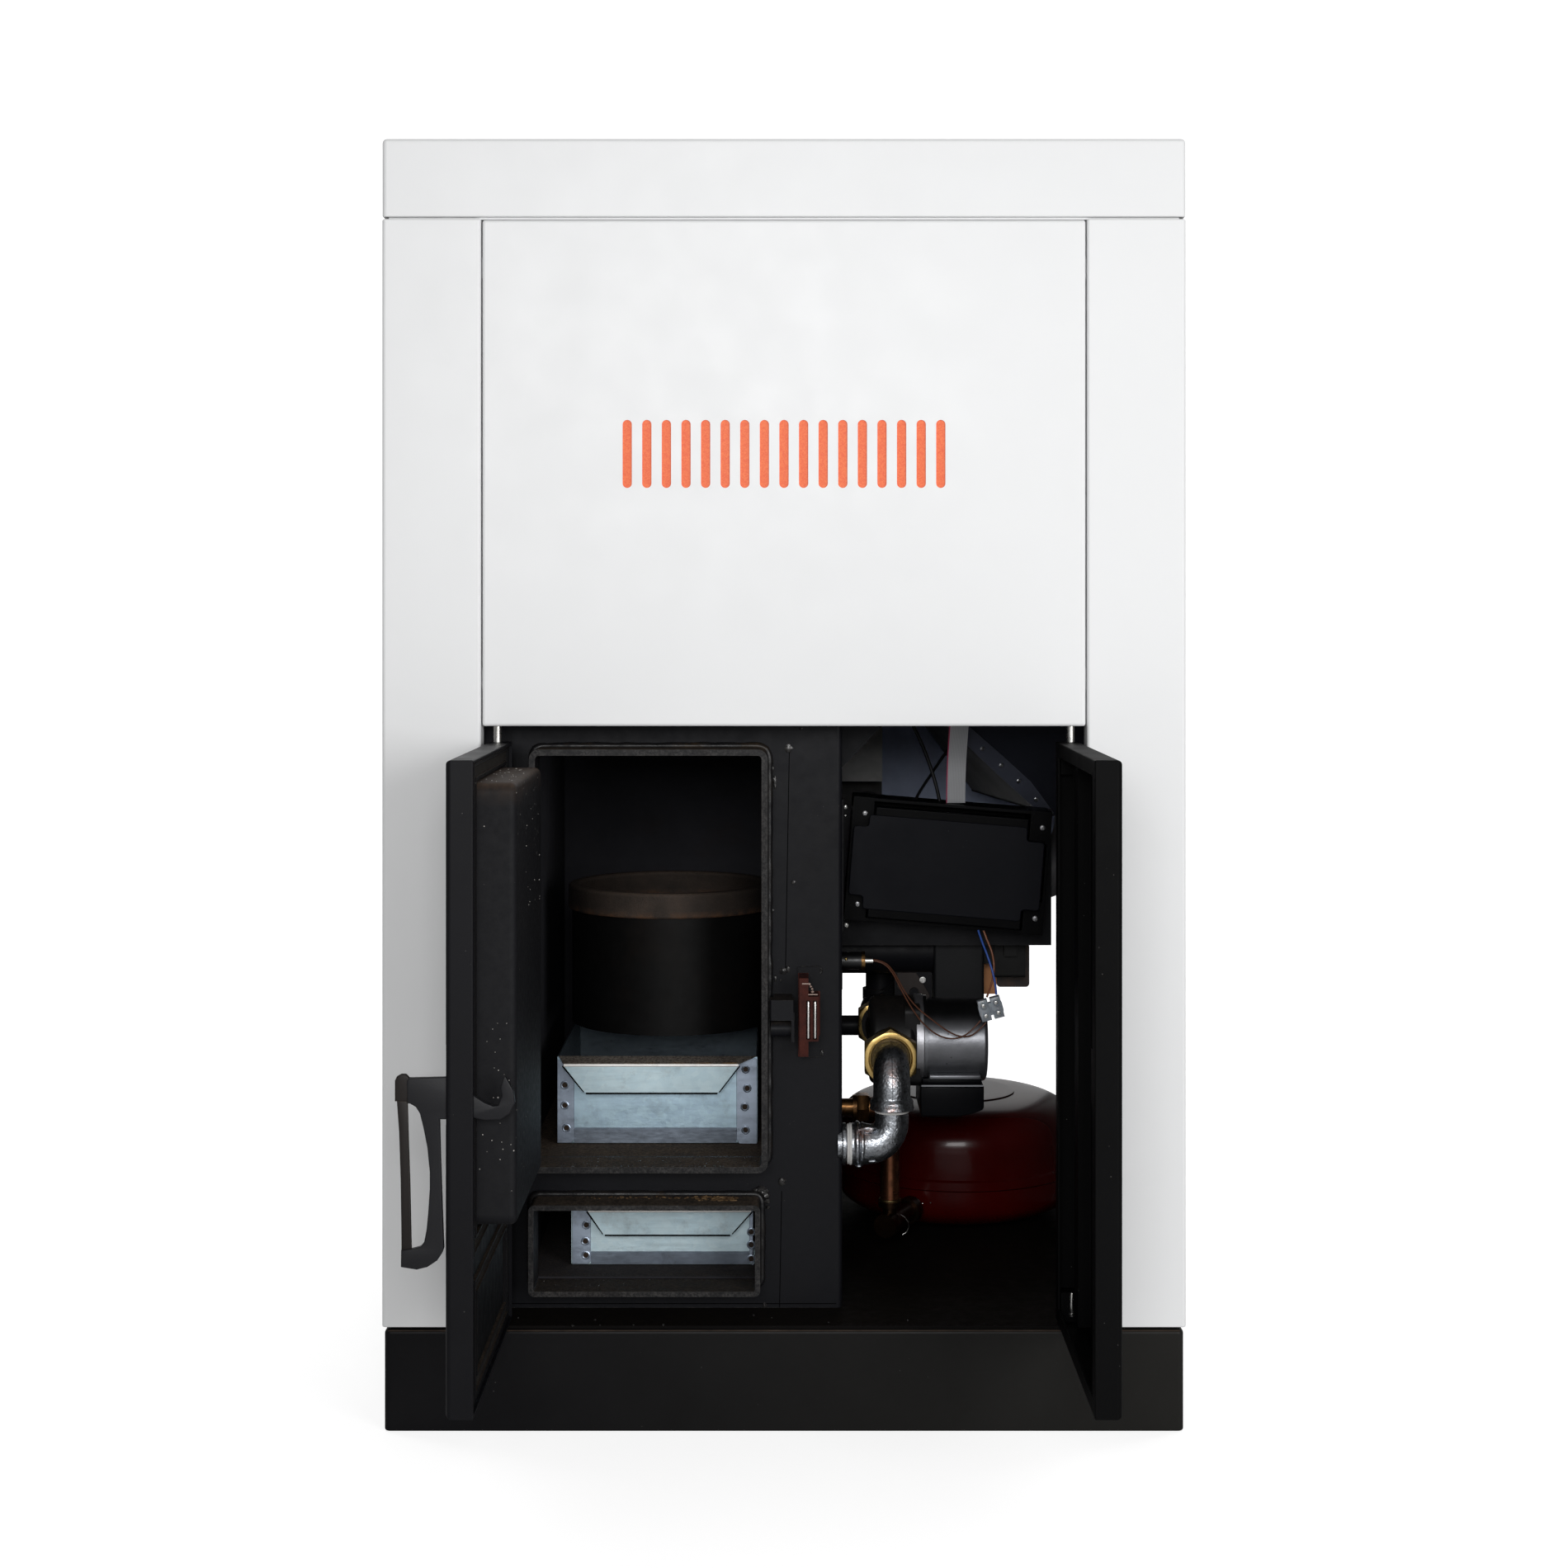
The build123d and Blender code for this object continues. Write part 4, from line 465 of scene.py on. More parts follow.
def iron_casting():
    """Galvanised malleable casting: bright, pebbled, with rust tints where the hand and water have been."""
    m = Mat("galvanised_iron_casting")
    big = m.noise(48.0, 4, 0.6)
    pebble = m.cells(430.0, feature="SMOOTH_F1")
    fine = m.noise(520.0, 3, 0.6)
    col = m.mix(m.ramp(big, (0.34, 0.0), (0.68, 1.0)), (0.33, 0.35, 0.38), (0.52, 0.545, 0.58))
    grime = m.ramp(m.noise(260.0, 5, 0.75), (0.52, 0.0), (0.62, 1.0))
    col = m.mix(m.math("MULTIPLY", grime, 0.6), col, (0.060, 0.056, 0.054))
    for x, y, z, a, b, amount in ((108, 57, 345, 3, 17, 0.55), (108, 57, 330, 2, 10, 0.45), (78, 56, 278, 3, 13, 0.75), (108, 55, 300, 2, 9, 0.5), (90, 60, 300, 2, 8, 0.4)):
        tint = m.math("MULTIPLY", m.spot(x, y, z, a, b), m.range(m.noise(240.0, 5, 0.75), 0.40, 0.58))
        col = m.mix(m.math("MULTIPLY", tint, amount), col, (0.42, 0.16, 0.07))
    m.set(color=col, rough=m.range(fine, 0.25, 0.75, 0.24, 0.40), metal=1.0)
    m.bump(pebble, 0.30, 0.0010)
    m.bump(m.noise(230.0, 3, 0.6), 0.30, 0.0009)
    return m.m


def rear_sheet():
    """Galvanised rear panel: neutral outside; inside, a blue-grey painted shade that turns to near-black painted shade
    behind the boiler body.
    """
    m = Mat("galvanised_rear_panel")
    clouds = m.ramp(m.noise(16.0, 5, 0.62), (0.34, 0.0), (0.68, 1.0))
    # painted shade: the inside is blue-grey, and near-black where X is under 126 mm
    painted_shade_inside = m.mix(clouds, (0.30, 0.35, 0.49), (0.40, 0.46, 0.62))
    painted_shade_behind_body = m.math("LESS_THAN", m.xyz(0), 0.1258)
    painted_shade_inside = m.mix(painted_shade_behind_body, painted_shade_inside, (0.012, 0.0115, 0.011))
    outer = m.mix(clouds, (0.42, 0.43, 0.45), (0.56, 0.575, 0.60))
    cell = m.xyz(0, m.cells(120.0, out="Color"))
    outer = m.mix(m.math("MULTIPLY", cell, 0.2), outer, (0.70, 0.71, 0.73))
    col = m.mix(m.math("GREATER_THAN", m.xyz(1), FRONT + 0.7393), painted_shade_inside, outer)
    m.set(color=col, rough=m.range(m.noise(90.0, 4), 0.25, 0.75, 0.42, 0.58), metal=0.25)
    m.bump(m.noise(200.0, 3), 0.06, 0.0004)
    return m.m


def riser_pipe():
    """Copper pipe, with the brass ends dark and stained."""
    m = Mat("riser_copper_and_brass")
    z = m.xyz(2)
    x = m.xyz(0)
    stain = m.ramp(m.noise(45.0, 6, 0.7), (0.42, 0.0), (0.66, 1.0))
    copper = m.mix(m.math("MULTIPLY", stain, 0.75), (0.30, 0.120, 0.062), (0.050, 0.024, 0.014))
    brass = m.mix(m.math("MULTIPLY", stain, 0.8), (0.34, 0.165, 0.060), (0.035, 0.020, 0.012))
    dark = m.mix(m.math("MULTIPLY", stain, 0.8), (0.040, 0.020, 0.010), (0.008, 0.005, 0.004))
    col = m.mix(m.math("LESS_THAN", x, 0.0922), copper, brass)
    col = m.mix(m.range(z, 0.1615, 0.1605), col, dark)
    m.set(color=col, rough=m.range(m.noise(90.0, 4), 0.3, 0.7, 0.26, 0.42), metal=0.95)
    m.bump(m.noise(150.0, 3), 0.2, 0.0006)
    return m.m


def cast_ring():
    m = Mat("cast_burner_ring")
    grain = m.noise(520.0, 4, 0.7)
    big = m.noise(24.0, 5, 0.65)
    col = m.mix(m.ramp(big, (0.35, 0.0), (0.7, 1.0)), (0.018, 0.0135, 0.0105), (0.046, 0.032, 0.024))
    up = m.range(m.up(), -0.1, 0.9)
    col = m.mix(m.math("MULTIPLY", up, m.range(grain, 0.25, 0.6)), col, (0.075, 0.055, 0.042))
    specks = m.ramp(m.cells(420.0), (0.0, 1.0), (0.10, 1.0), (0.16, 0.0))
    col = m.mix(m.math("MULTIPLY", specks, 0.5), col, (0.012, 0.010, 0.009))
    # painted shade: the ring darkens towards both of its ends in X
    side = m.range(m.math("ABSOLUTE", m.math("ADD", m.xyz(0), 0.128)), 0.03, 0.105, 0.0, 0.75)
    col = m.mix(side, col, (0.007, 0.0060, 0.0056))
    low = m.math("MULTIPLY", m.range(m.xyz(2), 0.488, 0.481), m.range(m.noise(55.0, 5, 0.7), 0.42, 0.62))
    col = m.mix(m.math("MULTIPLY", low, 0.65), col, (0.105, 0.050, 0.024))
    m.set(color=col, rough=m.range(grain, 0.3, 0.7, 0.5, 0.75), spec=0.25)
    m.bump(grain, 0.9, 0.0012)
    m.bump(m.noise(1400.0, 2), 0.4, 0.0004)
    return m.m


def board():
    """Black-coated insulating block: smooth and dull, dusty brown on top."""
    m = Mat("insulation_board")
    fine = m.noise(160.0, 5, 0.65)
    big = m.noise(8.0, 4, 0.6)
    col = m.mix(m.ramp(big, (0.3, 0.0), (0.75, 1.0)), (0.0050, 0.0051, 0.0064), (0.0078, 0.0079, 0.0094))
    z = m.range(m.xyz(2), 0.625, 0.655)
    up = m.range(m.up(), 0.2, 0.9)
    dust = m.math("MAXIMUM", up, m.math("MULTIPLY", z, m.range(m.noise(26.0, 4), 0.35, 0.7)))
    col = m.mix(m.math("MULTIPLY", dust, m.range(fine, 0.2, 0.6, 0.35, 0.9)), col, (0.060, 0.040, 0.028))
    specks = m.ramp(m.cells(95.0), (0.0, 1.0), (0.05, 1.0), (0.075, 0.0))
    gate = m.ramp(m.noise(17.0, 3), (0.50, 0.0), (0.56, 1.0))
    col = m.mix(m.math("MULTIPLY", m.math("MULTIPLY", specks, gate), 0.9), col, (0.42, 0.40, 0.37))
    m.set(color=col, rough=m.range(fine, 0.3, 0.7, 0.55, 0.72), spec=0.17)
    m.bump(fine, 0.18, 0.0008)
    m.bump(m.noise(700.0, 3), 0.2, 0.0003)
    return m.m


def rope():
    m = Mat("glass_rope")
    fine = m.noise(500.0, 4, 0.7)
    col = m.mix(m.ramp(m.noise(40.0, 5, 0.7), (0.35, 0.0), (0.75, 1.0)), (0.009, 0.008, 0.0075), (0.030, 0.026, 0.022))
    m.set(color=m.mix(m.range(fine, 0.4, 0.7), col, (0.012, 0.0105, 0.009)), rough=0.9, spec=0.1)
    m.bump(fine, 0.6, 0.0008)
    return m.m


def bead_metal():
    m = Mat("painted_weld_bead")
    grain = m.noise(350.0, 4, 0.7)
    col = m.mix(m.ramp(m.noise(60.0, 4), (0.4, 0.0), (0.75, 1.0)), (0.0062, 0.0062, 0.0072), (0.0125, 0.0110, 0.0100))
    col = m.mix(m.ramp(m.noise(13.0, 5, 0.7), (0.60, 0.0), (0.72, 0.7)), col, (0.05, 0.03, 0.013))
    m.set(color=col, rough=m.range(grain, 0.3, 0.7, 0.28, 0.45), spec=0.32)
    m.bump(grain, 0.35, 0.0006)
    return m.m


def rust_scale():
    m = Mat("rust_scale")
    grain = m.noise(420.0, 4, 0.7)
    col = m.mix(m.ramp(m.noise(150.0, 5, 0.7), (0.35, 0.0), (0.62, 1.0)), (0.030, 0.013, 0.006), (0.20, 0.125, 0.06))
    m.set(color=col, rough=0.6, spec=0.25)
    m.bump(grain, 0.5, 0.0006)
    return m.m


def spatter():
    m = Mat("weld_spatter")
    grain = m.noise(300.0, 4, 0.7)
    col = m.mix(m.ramp(grain, (0.3, 0.0), (0.65, 1.0)), (0.0060, 0.0060, 0.0066), (0.045, 0.043, 0.042))
    m.set(color=col, rough=0.26, spec=0.5, metal=0.2)
    m.bump(grain, 0.4, 0.0005)
    return m.m


def sensor_finish():
    """Black body, brass ring and bright nipple of the immersion sensor, told apart along its length."""
    m = Mat("sensor_finish")
    x = m.xyz(0)
    fine = m.noise(260.0, 4, 0.6)
    brass = m.math("MULTIPLY", m.math("GREATER_THAN", x, 0.0800), m.math("LESS_THAN", x, 0.0839))
    bright = m.math("GREATER_THAN", x, 0.0839)
    col = m.mix(fine, (0.005, 0.005, 0.006), (0.009, 0.009, 0.010))
    col = m.mix(brass, (0.0035, 0.0035, 0.0040), m.mix(m.ramp(m.noise(120.0, 4, 0.7), (0.35, 0.0), (0.65, 1.0)), (0.07, 0.035, 0.015), (0.34, 0.20, 0.075)))
    col = m.mix(bright, col, (0.62, 0.62, 0.60))
    m.set(color=col, rough=m.range(fine, 0.3, 0.7, 0.28, 0.42), metal=m.math("MAXIMUM", brass, bright))
    m.bump(fine, 0.1, 0.0004)
    return m.m


def block_plastic():
    m = Mat("terminal_block_plastic")
    col = m.mix(m.ramp(m.noise(120.0, 4), (0.3, 0.0), (0.7, 1.0)), (0.21, 0.235, 0.265), (0.40, 0.43, 0.47))
    m.set(color=col, rough=0.28, spec=0.6, sss=0.1)
    m.bump(m.noise(600.0, 2), 0.1, 0.0003)
    return m.m


def tape():
    m = Mat("thread_tape")
    wave = m.node("ShaderNodeTexWave", bands_direction="X")
    m.nt.links.new(m.co, wave.inputs["Vector"])
    wave.inputs["Scale"].default_value = 260.0
    wave.inputs["Distortion"].default_value = 2.5
    m.set(color=m.mix(wave.outputs["Fac"], (0.55, 0.54, 0.52), (0.8, 0.79, 0.77)), rough=0.6)
    m.bump(wave.outputs["Fac"], 0.5, 0.0006)
    return m.m


LAMINATED, COIL, ORANGE, RED, RIBBON, RING, BOARD, ROPE, BEAD, BLOCK, TAPE, RUST, SPATTER, SENSOR, CAST_IRON, RISER, REAR = (
    laminations(), coil_wrap(), orange(), red_gloss(), ribbon(), cast_ring(), board(), rope(), bead_metal(),
    block_plastic(), tape(), rust_scale(), spatter(), sensor_finish(), iron_casting(), riser_pipe(), rear_sheet(),
)
HOSE = plastic("hose_plastic", (0.17, 0.17, 0.175), 0.45, 0.4, 0.1)

for node_name, material in {
    "plinth": PLINTH, "floor_deck": FLOOR, "side_panel_left": WHITE, "side_panel_right": WHITE, "rear_panel": REAR,
    "top_cover": WHITE, "upper_front_panel": WHITE, "slot_backing": ORANGE, "hopper_lid": WHITE, "boiler_shell": PLATE,
    "firebox": FIREBOX, "door_frames": FRAME, "smoke_box": FIREBOX, "burner_pot": POT, "burner_ring": RING,
    "upper_ash_pan": ZINC, "lower_ash_pan": ZINC_LIT_COPY, "left_door_shell": BLACK, "left_door_liner": LINER,
    "insulation_block": BOARD, "door_gaskets": ROPE, "latch_lever": LEVER, "right_door_shell": BLACK_RIGHT,
    "hinge_pins": STEEL, "latch_keeper": PLATE, "catch_housing": CATCH, "hopper": HOPPER,
    "feed_hose": HOSE, "feed_chute": CHUTE, "auger_tube": PLATE, "auger_screw": STEEL, "gearbox": GEARBOX,
    "motor_core": LAMINATED, "fan_housing": GALV, "fan_impeller": STEEL, "fan_motor": GEARBOX, "pump_volute": PUMP,
    "pump_motor": MOTOR, "pump_terminal_box": PUMP_BLACK, "union_nuts": BRASS, "return_elbows": IRON,
    "flow_pipe": PLATE, "expansion_vessel": RED, "vessel_pipe": RISER, "sensor_fitting": SENSOR,
    "control_box_base": BOX, "control_box_lid": BOX, "box_bracket": PLATE,
    "ribbon_cable": RIBBON, "blue_wire": WIRE_BLUE, "brown_wire": WIRE_BROWN, "sensor_wire_a": WIRE_SENSOR,
    "sensor_wire_b": WIRE_SENSOR, "display_cable": CABLE_BLACK, "probe_cable": CABLE_BLACK, "terminal_block": BLOCK, "display_panel": DISPLAY, "display_button_up": RUBBER,
    "display_button_down": RUBBER, "power_switch": SWITCH,
}.items():
    for s in NODES[node_name].material_slots:
        s.material = material


# ------------------------------------------------------------------ mesh building
def finish_mesh(ob, smooth=True, angle=32.0):
    me = ob.data
    bm = bmesh.new()
    bm.from_mesh(me)
    bmesh.ops.remove_doubles(bm, verts=bm.verts, dist=1e-7)
    bmesh.ops.recalc_face_normals(bm, faces=bm.faces)
    bm.to_mesh(me)
    bm.free()
    if smooth:
        for p in me.polygons:
            p.use_smooth = True
        me.set_sharp_from_angle(angle=math.radians(angle))
    return ob


def make(name, verts, faces, material, body="boiler", smooth=True, angle=32.0):
    me = bpy.data.meshes.new(name)
    me.from_pydata([tuple(v) for v in verts], [], faces)
    ob = bpy.data.objects.new(name, me)
    scene.collection.objects.link(ob)
    me.materials.append(material)
    finish_mesh(ob, smooth, angle)
    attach(ob, body)
    return ob


class Group:
    """Collects many small shapes into one mesh."""

    def __init__(self):
        self.v, self.f = [], []

    def add(self, verts, faces):
        n = len(self.v)
        self.v += [Vector(v) for v in verts]
        self.f += [tuple(i + n for i in f) for f in faces]

    def bm(self, bm, matrix=None):
        bm.verts.ensure_lookup_table()
        self.add([(matrix @ v.co) if matrix else v.co.copy() for v in bm.verts], [[v.index for v in f.verts] for f in bm.faces])
        bm.free()

    def block(self, x0, x1, y0, y1, z0, z1, bevel=0.0, seg=2, matrix=None):
        bm = bmesh.new()
        bmesh.ops.create_cube(bm, size=1.0)
        c, s = (P(x0, y0, z0) + P(x1, y1, z1)) / 2, (P(x1, y1, z1) - P(x0, y0, z0))
        for v in bm.verts:
            v.co = Vector((v.co.x * s.x, v.co.y * s.y, v.co.z * s.z)) + c
        if bevel:
            bmesh.ops.bevel(bm, geom=list(bm.edges), offset=bevel / 1000, segments=seg, profile=0.5, affect="EDGES", clamp_overlap=True)
        bm.verts.index_update()
        self.bm(bm, matrix)

    def lathe(self, profile, origin, axis, steps=40):
        """profile is (radius, height) in mm along axis from origin."""
        a = Vector(axis).normalized()
        u = a.orthogonal().normalized()
        w = a.cross(u)
        verts, faces = [], []
        n = len(profile)
        for i in range(steps):
            t = 2 * math.pi * i / steps
            d = u * math.cos(t) + w * math.sin(t)
            verts += [origin + d * (r / 1000) + a * (h / 1000) for r, h in profile]
        for i in range(steps):
            j = (i + 1) % steps
            for k in range(n - 1):
                faces.append((i * n + k, j * n + k, j * n + k + 1, i * n + k + 1))
        if profile[0][0] > 1e-6:
            faces.append(tuple(i * n for i in reversed(range(steps))))
        if profile[-1][0] > 1e-6:
            faces.append(tuple(i * n + n - 1 for i in range(steps)))
        self.add(verts, faces)

    def prism(self, outline, origin, u, v, depth, bevel=0.0, seg=2):
        """outline is (a, b) in mm in the plane of u and v; depth in mm along u x v."""
        u, v = Vector(u).normalized(), Vector(v).normalized()
        n = u.cross(v)
        bm = bmesh.new()
        low = [bm.verts.new(origin + u * (a / 1000) + v * (b / 1000)) for a, b in outline]
        high = [bm.verts.new(x.co + n * (depth / 1000)) for x in low]
        bm.faces.new(low[::-1])
        bm.faces.new(high)
        k = len(low)
        for i in range(k):
            bm.faces.new((low[i], low[(i + 1) % k], high[(i + 1) % k], high[i]))
        bmesh.ops.recalc_face_normals(bm, faces=bm.faces)
        if bevel:
            rim = [e for e in bm.edges if abs((e.verts[0].co - e.verts[1].co).normalized().dot(n)) < 0.5]
            bmesh.ops.bevel(bm, geom=rim, offset=bevel / 1000, segments=seg, profile=0.5, affect="EDGES", clamp_overlap=True)
        bm.verts.index_update()
        self.bm(bm)

    def tube(self, pts, radius, segs=14, closed=False, twist=None):
        """radius is in mm, a number or a function (i, share, angle) of the point."""
        pts = [Vector(p) for p in pts]
        n = len(pts)
        tang = []
        for i in range(n):
            a = pts[(i - 1) % n] if (closed or i > 0) else pts[i]
            b = pts[(i + 1) % n] if (closed or i < n - 1) else pts[i]
            tang.append((b - a).normalized())
        side = tang[0].orthogonal().normalized()
        verts, faces, sides = [], [], []
        for i in range(n):
            side = (side - tang[i] * side.dot(tang[i])).normalized()
            sides.append(side.copy())
        for i in range(n):
            s, w = sides[i], tang[i].cross(sides[i])
            for k in range(segs):
                t = 2 * math.pi * k / segs
                r = radius(i, i / (n - 1), t) if callable(radius) else radius
                verts.append(pts[i] + (s * math.cos(t) + w * math.sin(t)) * (r / 1000))
        off = 0
        if closed:
            ang = math.atan2(sides[-1].dot(tang[0].cross(sides[0])), sides[-1].dot(sides[0]))
            off = round(-ang / (2 * math.pi) * segs) % segs
        for i in range(n if closed else n - 1):
            j = (i + 1) % n
            o = off if (closed and j == 0) else 0
            for k in range(segs):
                faces.append((i * segs + k, i * segs + (k + 1) % segs, j * segs + (k + 1 - o) % segs, j * segs + (k - o) % segs))
        if not closed:
            faces.append(tuple(reversed(range(segs))))
            faces.append(tuple((n - 1) * segs + k for k in range(segs)))
        self.add(verts, faces)

    def screw(self, pos, direction, r, h=1.6, cross=True):
        """Pan-head screw with a cross recess."""
        d = Vector(direction).normalized()
        u = d.orthogonal().normalized()
        w = d.cross(u)
        self.lathe([(r, 0), (r, h * 0.35), (r * 0.86, h * 0.8), (r * 0.55, h), (0, h)], pos, d, 20)
        if cross:
            for a, b in ((u, w), (w, u)):
                q = [pos + d * (h / 1000 * 1.02) + a * (r * s / 1000) + b * (r * t / 1000) for s, t in ((-0.6, -0.11), (0.6, -0.11), (0.6, 0.11), (-0.6, 0.11))]
                deep = [p - d * (h * 0.3 / 1000) for p in q]
                self.add(q + deep, [(0, 1, 2, 3), (0, 4, 5, 1), (1, 5, 6, 2), (2, 6, 7, 3), (3, 7, 4, 0), (7, 6, 5, 4)])

    def hexagon(self, pos, direction, af, h, turn=0.0, hole=0.0):
        d = Vector(direction).normalized()
        u = d.orthogonal().normalized()
        w = d.cross(u)
        c = af / 2 / math.cos(math.pi / 6)
        bm = bmesh.new()
        rings = []
        for hh, rr in ((0.0, c * 0.93), (h * 0.12, c), (h * 0.88, c), (h, c * 0.93)):
            rings.append([bm.verts.new(pos + d * (hh / 1000) + (u * math.cos(turn + i * math.pi / 3) + w * math.sin(turn + i * math.pi / 3)) * (rr / 1000)) for i in range(6)])
        for a, b in zip(rings, rings[1:]):
            for i in range(6):
                bm.faces.new((a[i], a[(i + 1) % 6], b[(i + 1) % 6], b[i]))
        bm.faces.new(rings[0][::-1])
        bm.faces.new(rings[-1])
        bm.verts.index_update()
        self.bm(bm)

    def make(self, name, material, body="boiler", smooth=True, angle=32.0):
        return make(name, self.v, self.f, material, body, smooth, angle)


def rounded_path(corners, radius, step=4.0):
    """Closed path in a plane: corners in mm as 2-D points, rounded, with points every few mm."""
    out = []
    n = len(corners)
    for i in range(n):
        a, b, c = (Vector(corners[(i + k) % n]) for k in (-1, 0, 1))
        p, q = (a - b).normalized(), (c - b).normalized()
        s, e = b + p * radius, b + q * radius
        for k in range(7):
            t = k / 6
            out.append((s * (1 - t) + b * t) * (1 - t) + (b * (1 - t) + e * t) * t)
        nxt = Vector(corners[(i + 2) % n])
        end = c + (b - c).normalized() * radius
        length = (end - e).length
        m = max(1, int(length / step))
        out += [e + (end - e) * (k / m) for k in range(1, m)]
    return out


def on_plane(px, py, origin, normal):
    """Point in mm where the sight line of a picture place meets a plane."""
    eye = Vector((0, -2264, 796))
    d = Vector(((px - 950) / 2830, 1, -(py - 740) / 2830))
    n = Vector(normal)
    return eye + d * ((Vector(origin) - eye).dot(n) / d.dot(n))


def blob(g, centre, size, seed, rough=0.25, level=2):
    """Small lump of metal or dirt; size in mm along X, Y and Z."""
    bm = bmesh.new()
    bmesh.ops.create_icosphere(bm, subdivisions=level, radius=1.0)
    for v in bm.verts:
        k = 1 + 1.6 * rough * noise.noise(v.co * 1.7 + Vector((seed * 3.1, seed, 0)))
        v.co = Vector((v.co.x * size[0], v.co.y * size[1], v.co.z * size[2])) * (k / 1000) + centre
    bm.verts.index_update()
    g.bm(bm)


def weld(pts, r, seed, lump=0.35, pitch=3.2):
    """Radius function of a hand-laid weld bead."""
    def f(i, share, t):
        p = pts[i] * 1000
        n = noise.noise(Vector((p.x, p.y, p.z)) * 0.09 + Vector((seed, 0, 0)))
        ripple = 0.5 + 0.5 * math.sin((p.x + p.z + p.y) * 2 * math.pi / pitch)
        return r * (1 + lump * n + 0.10 * ripple)
    return f


# ------------------------------------------------------------------ cords
def cord_curve(name, points, radius, material):
    cu = bpy.data.curves.new(name, "CURVE")
    cu.dimensions = "3D"
    sp = cu.splines.new("NURBS")
    sp.points.add(len(points) - 1)
    for p, (x, y, z) in zip(sp.points, points):
        p.co = (x, y, z, 1.0)
    sp.order_u = 3
    sp.use_endpoint_u = True
    sp.resolution_u = 12
    cu.bevel_depth = radius
    cu.bevel_resolution = 5
    cu.use_fill_caps = True
    cu.materials.append(material)
    ob = bpy.data.objects.new(name, cu)
    scene.collection.objects.link(ob)
    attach(ob, "boiler")
    return ob


def route(points):
    return [(x / 1000, FRONT + y / 1000, z / 1000) for x, y, z in points]


BLUE = [(203, 177, 462.1), (206, 173, 452), (211.5, 167.5, 438), (216.6, 163.5, 422), (219.6, 161, 408), (220.4, 160, 397.4)]
BROWN = [(208.6, 178, 461.6), (212, 176, 452), (217.2, 173.5, 440), (219.4, 171.5, 425), (217, 167.5, 408.5), (210.6, 162, 394.6)]
SENSOR_A = [
    (92.15, 155, 433.5), (101.5, 154.5, 432.4), (111.2, 154, 423.6), (119.7, 153.5, 407), (128.0, 153, 391.4),
    (136.8, 152.5, 377.6), (146, 152.5, 366.4), (158.2, 152.5, 356.8), (171.2, 152.5, 352.6), (184, 153, 354.4),
    (195, 154.5, 361.4), (203.6, 156.5, 371.2),
]
SENSOR_B = [
    (92.15, 157.4, 434.2), (102.0, 158, 433.0), (112.4, 158, 424.4), (121.2, 157.6, 408), (129.4, 157, 394.2),
    (139.4, 156.8, 383.0), (150.4, 156.6, 374.4), (162.8, 156.6, 364.8), (175.6, 156.8, 356.4), (188.4, 157.4, 353.6),
    (199.6, 158.6, 357.4), (209.8, 160.5, 368.6),
]

DISPLAY_LEAD = [
    (164.5, 205, 594.9), (161.5, 205, 609), (157, 205, 624.5), (151, 203, 642), (143, 196, 661), (133.5, 186, 679),
    (124, 166, 704), (115.5, 134, 742), (109, 98, 788), (105.5, 74, 848), (104.5, 66, 920), (106, 64.5, 1010),
    (108, 63, 1110), (108.5, 61, 1190), (108.5, 60, 1236.9),
]
PROBE_LEAD = [
    (138.2, 192, 597.3), (142.2, 198, 604), (149.5, 211, 613), (158.6, 225, 624.5), (167.5, 234, 636.2),
    (176, 240, 647.3), (184.5, 245.5, 657), (194.5, 250, 665),
]

# terminal block: two moulded poles with clamp tunnels and screw towers
block_axis = Vector((0.966, 0, 0.259)).normalized()
block_up = Vector((-0.259, 0, 0.966)).normalized()
g = Group()
centre = P(214.5, 153, 383)
for s in (-6.75, 6.75):
    o = centre + block_axis * (s / 1000)
    outline = [(-5.2, -11), (-5.2, -6), (-5.9, -4), (-5.9, 4), (-5.2, 6), (-5.2, 11), (5.2, 11), (5.2, 6), (5.9, 4), (5.9, -4), (5.2, -6), (5.2, -11)]
    g.prism(outline, o + Vector((0, 0.0135, 0)), block_axis, block_up, 10.5, 0.7, 2)
    for t in (-5.4, 5.4):
        g.lathe([(3.5, 0), (3.5, 2.6), (2.6, 3.1), (2.5, 2.2), (0, 2.2)], o + block_up * (t / 1000) + Vector((0, 0.0028, 0)), (0, -1, 0), 20)
g.prism([(-2.4, -6.5), (2.4, -6.5), (2.4, 6.5), (-2.4, 6.5)], centre + Vector((0, 0.0125, 0)), block_axis, block_up, 8.0, 0.4, 1)
terminal = g.make("terminal_block_moulding", BLOCK)
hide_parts("terminal_block")
g = Group()
for s in (-6.75, 6.75):
    for t in (-5.4, 5.4):
        g.screw(centre + block_axis * (s / 1000) + block_up * (t / 1000) + Vector((0, 0.0008, 0)), (0, -1, 0), 2.2, 0.7)
terminal_screws = g.make("terminal_block_screws", STEEL)

blue = cord_curve("blue_lead", route(BLUE), 0.0011, WIRE_BLUE)
brown = cord_curve("brown_lead", route(BROWN), 0.0011, WIRE_BROWN)
sensor_a = cord_curve("sensor_lead_a", route(SENSOR_A), 0.0008, WIRE_SENSOR)
sensor_b = cord_curve("sensor_lead_b", route(SENSOR_B), 0.0008, WIRE_SENSOR)
display_lead = cord_curve("display_lead", route(DISPLAY_LEAD), 0.0019, CABLE_BLACK)
probe_lead = cord_curve("probe_lead", route(PROBE_LEAD), 0.0016, CABLE_BLACK)
for piece, node_name in ((display_lead, "display_cable"), (probe_lead, "probe_cable"), (blue, "blue_wire"), (brown, "brown_wire"), (sensor_a, "sensor_wire_a"), (sensor_b, "sensor_wire_b")):
    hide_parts(node_name)

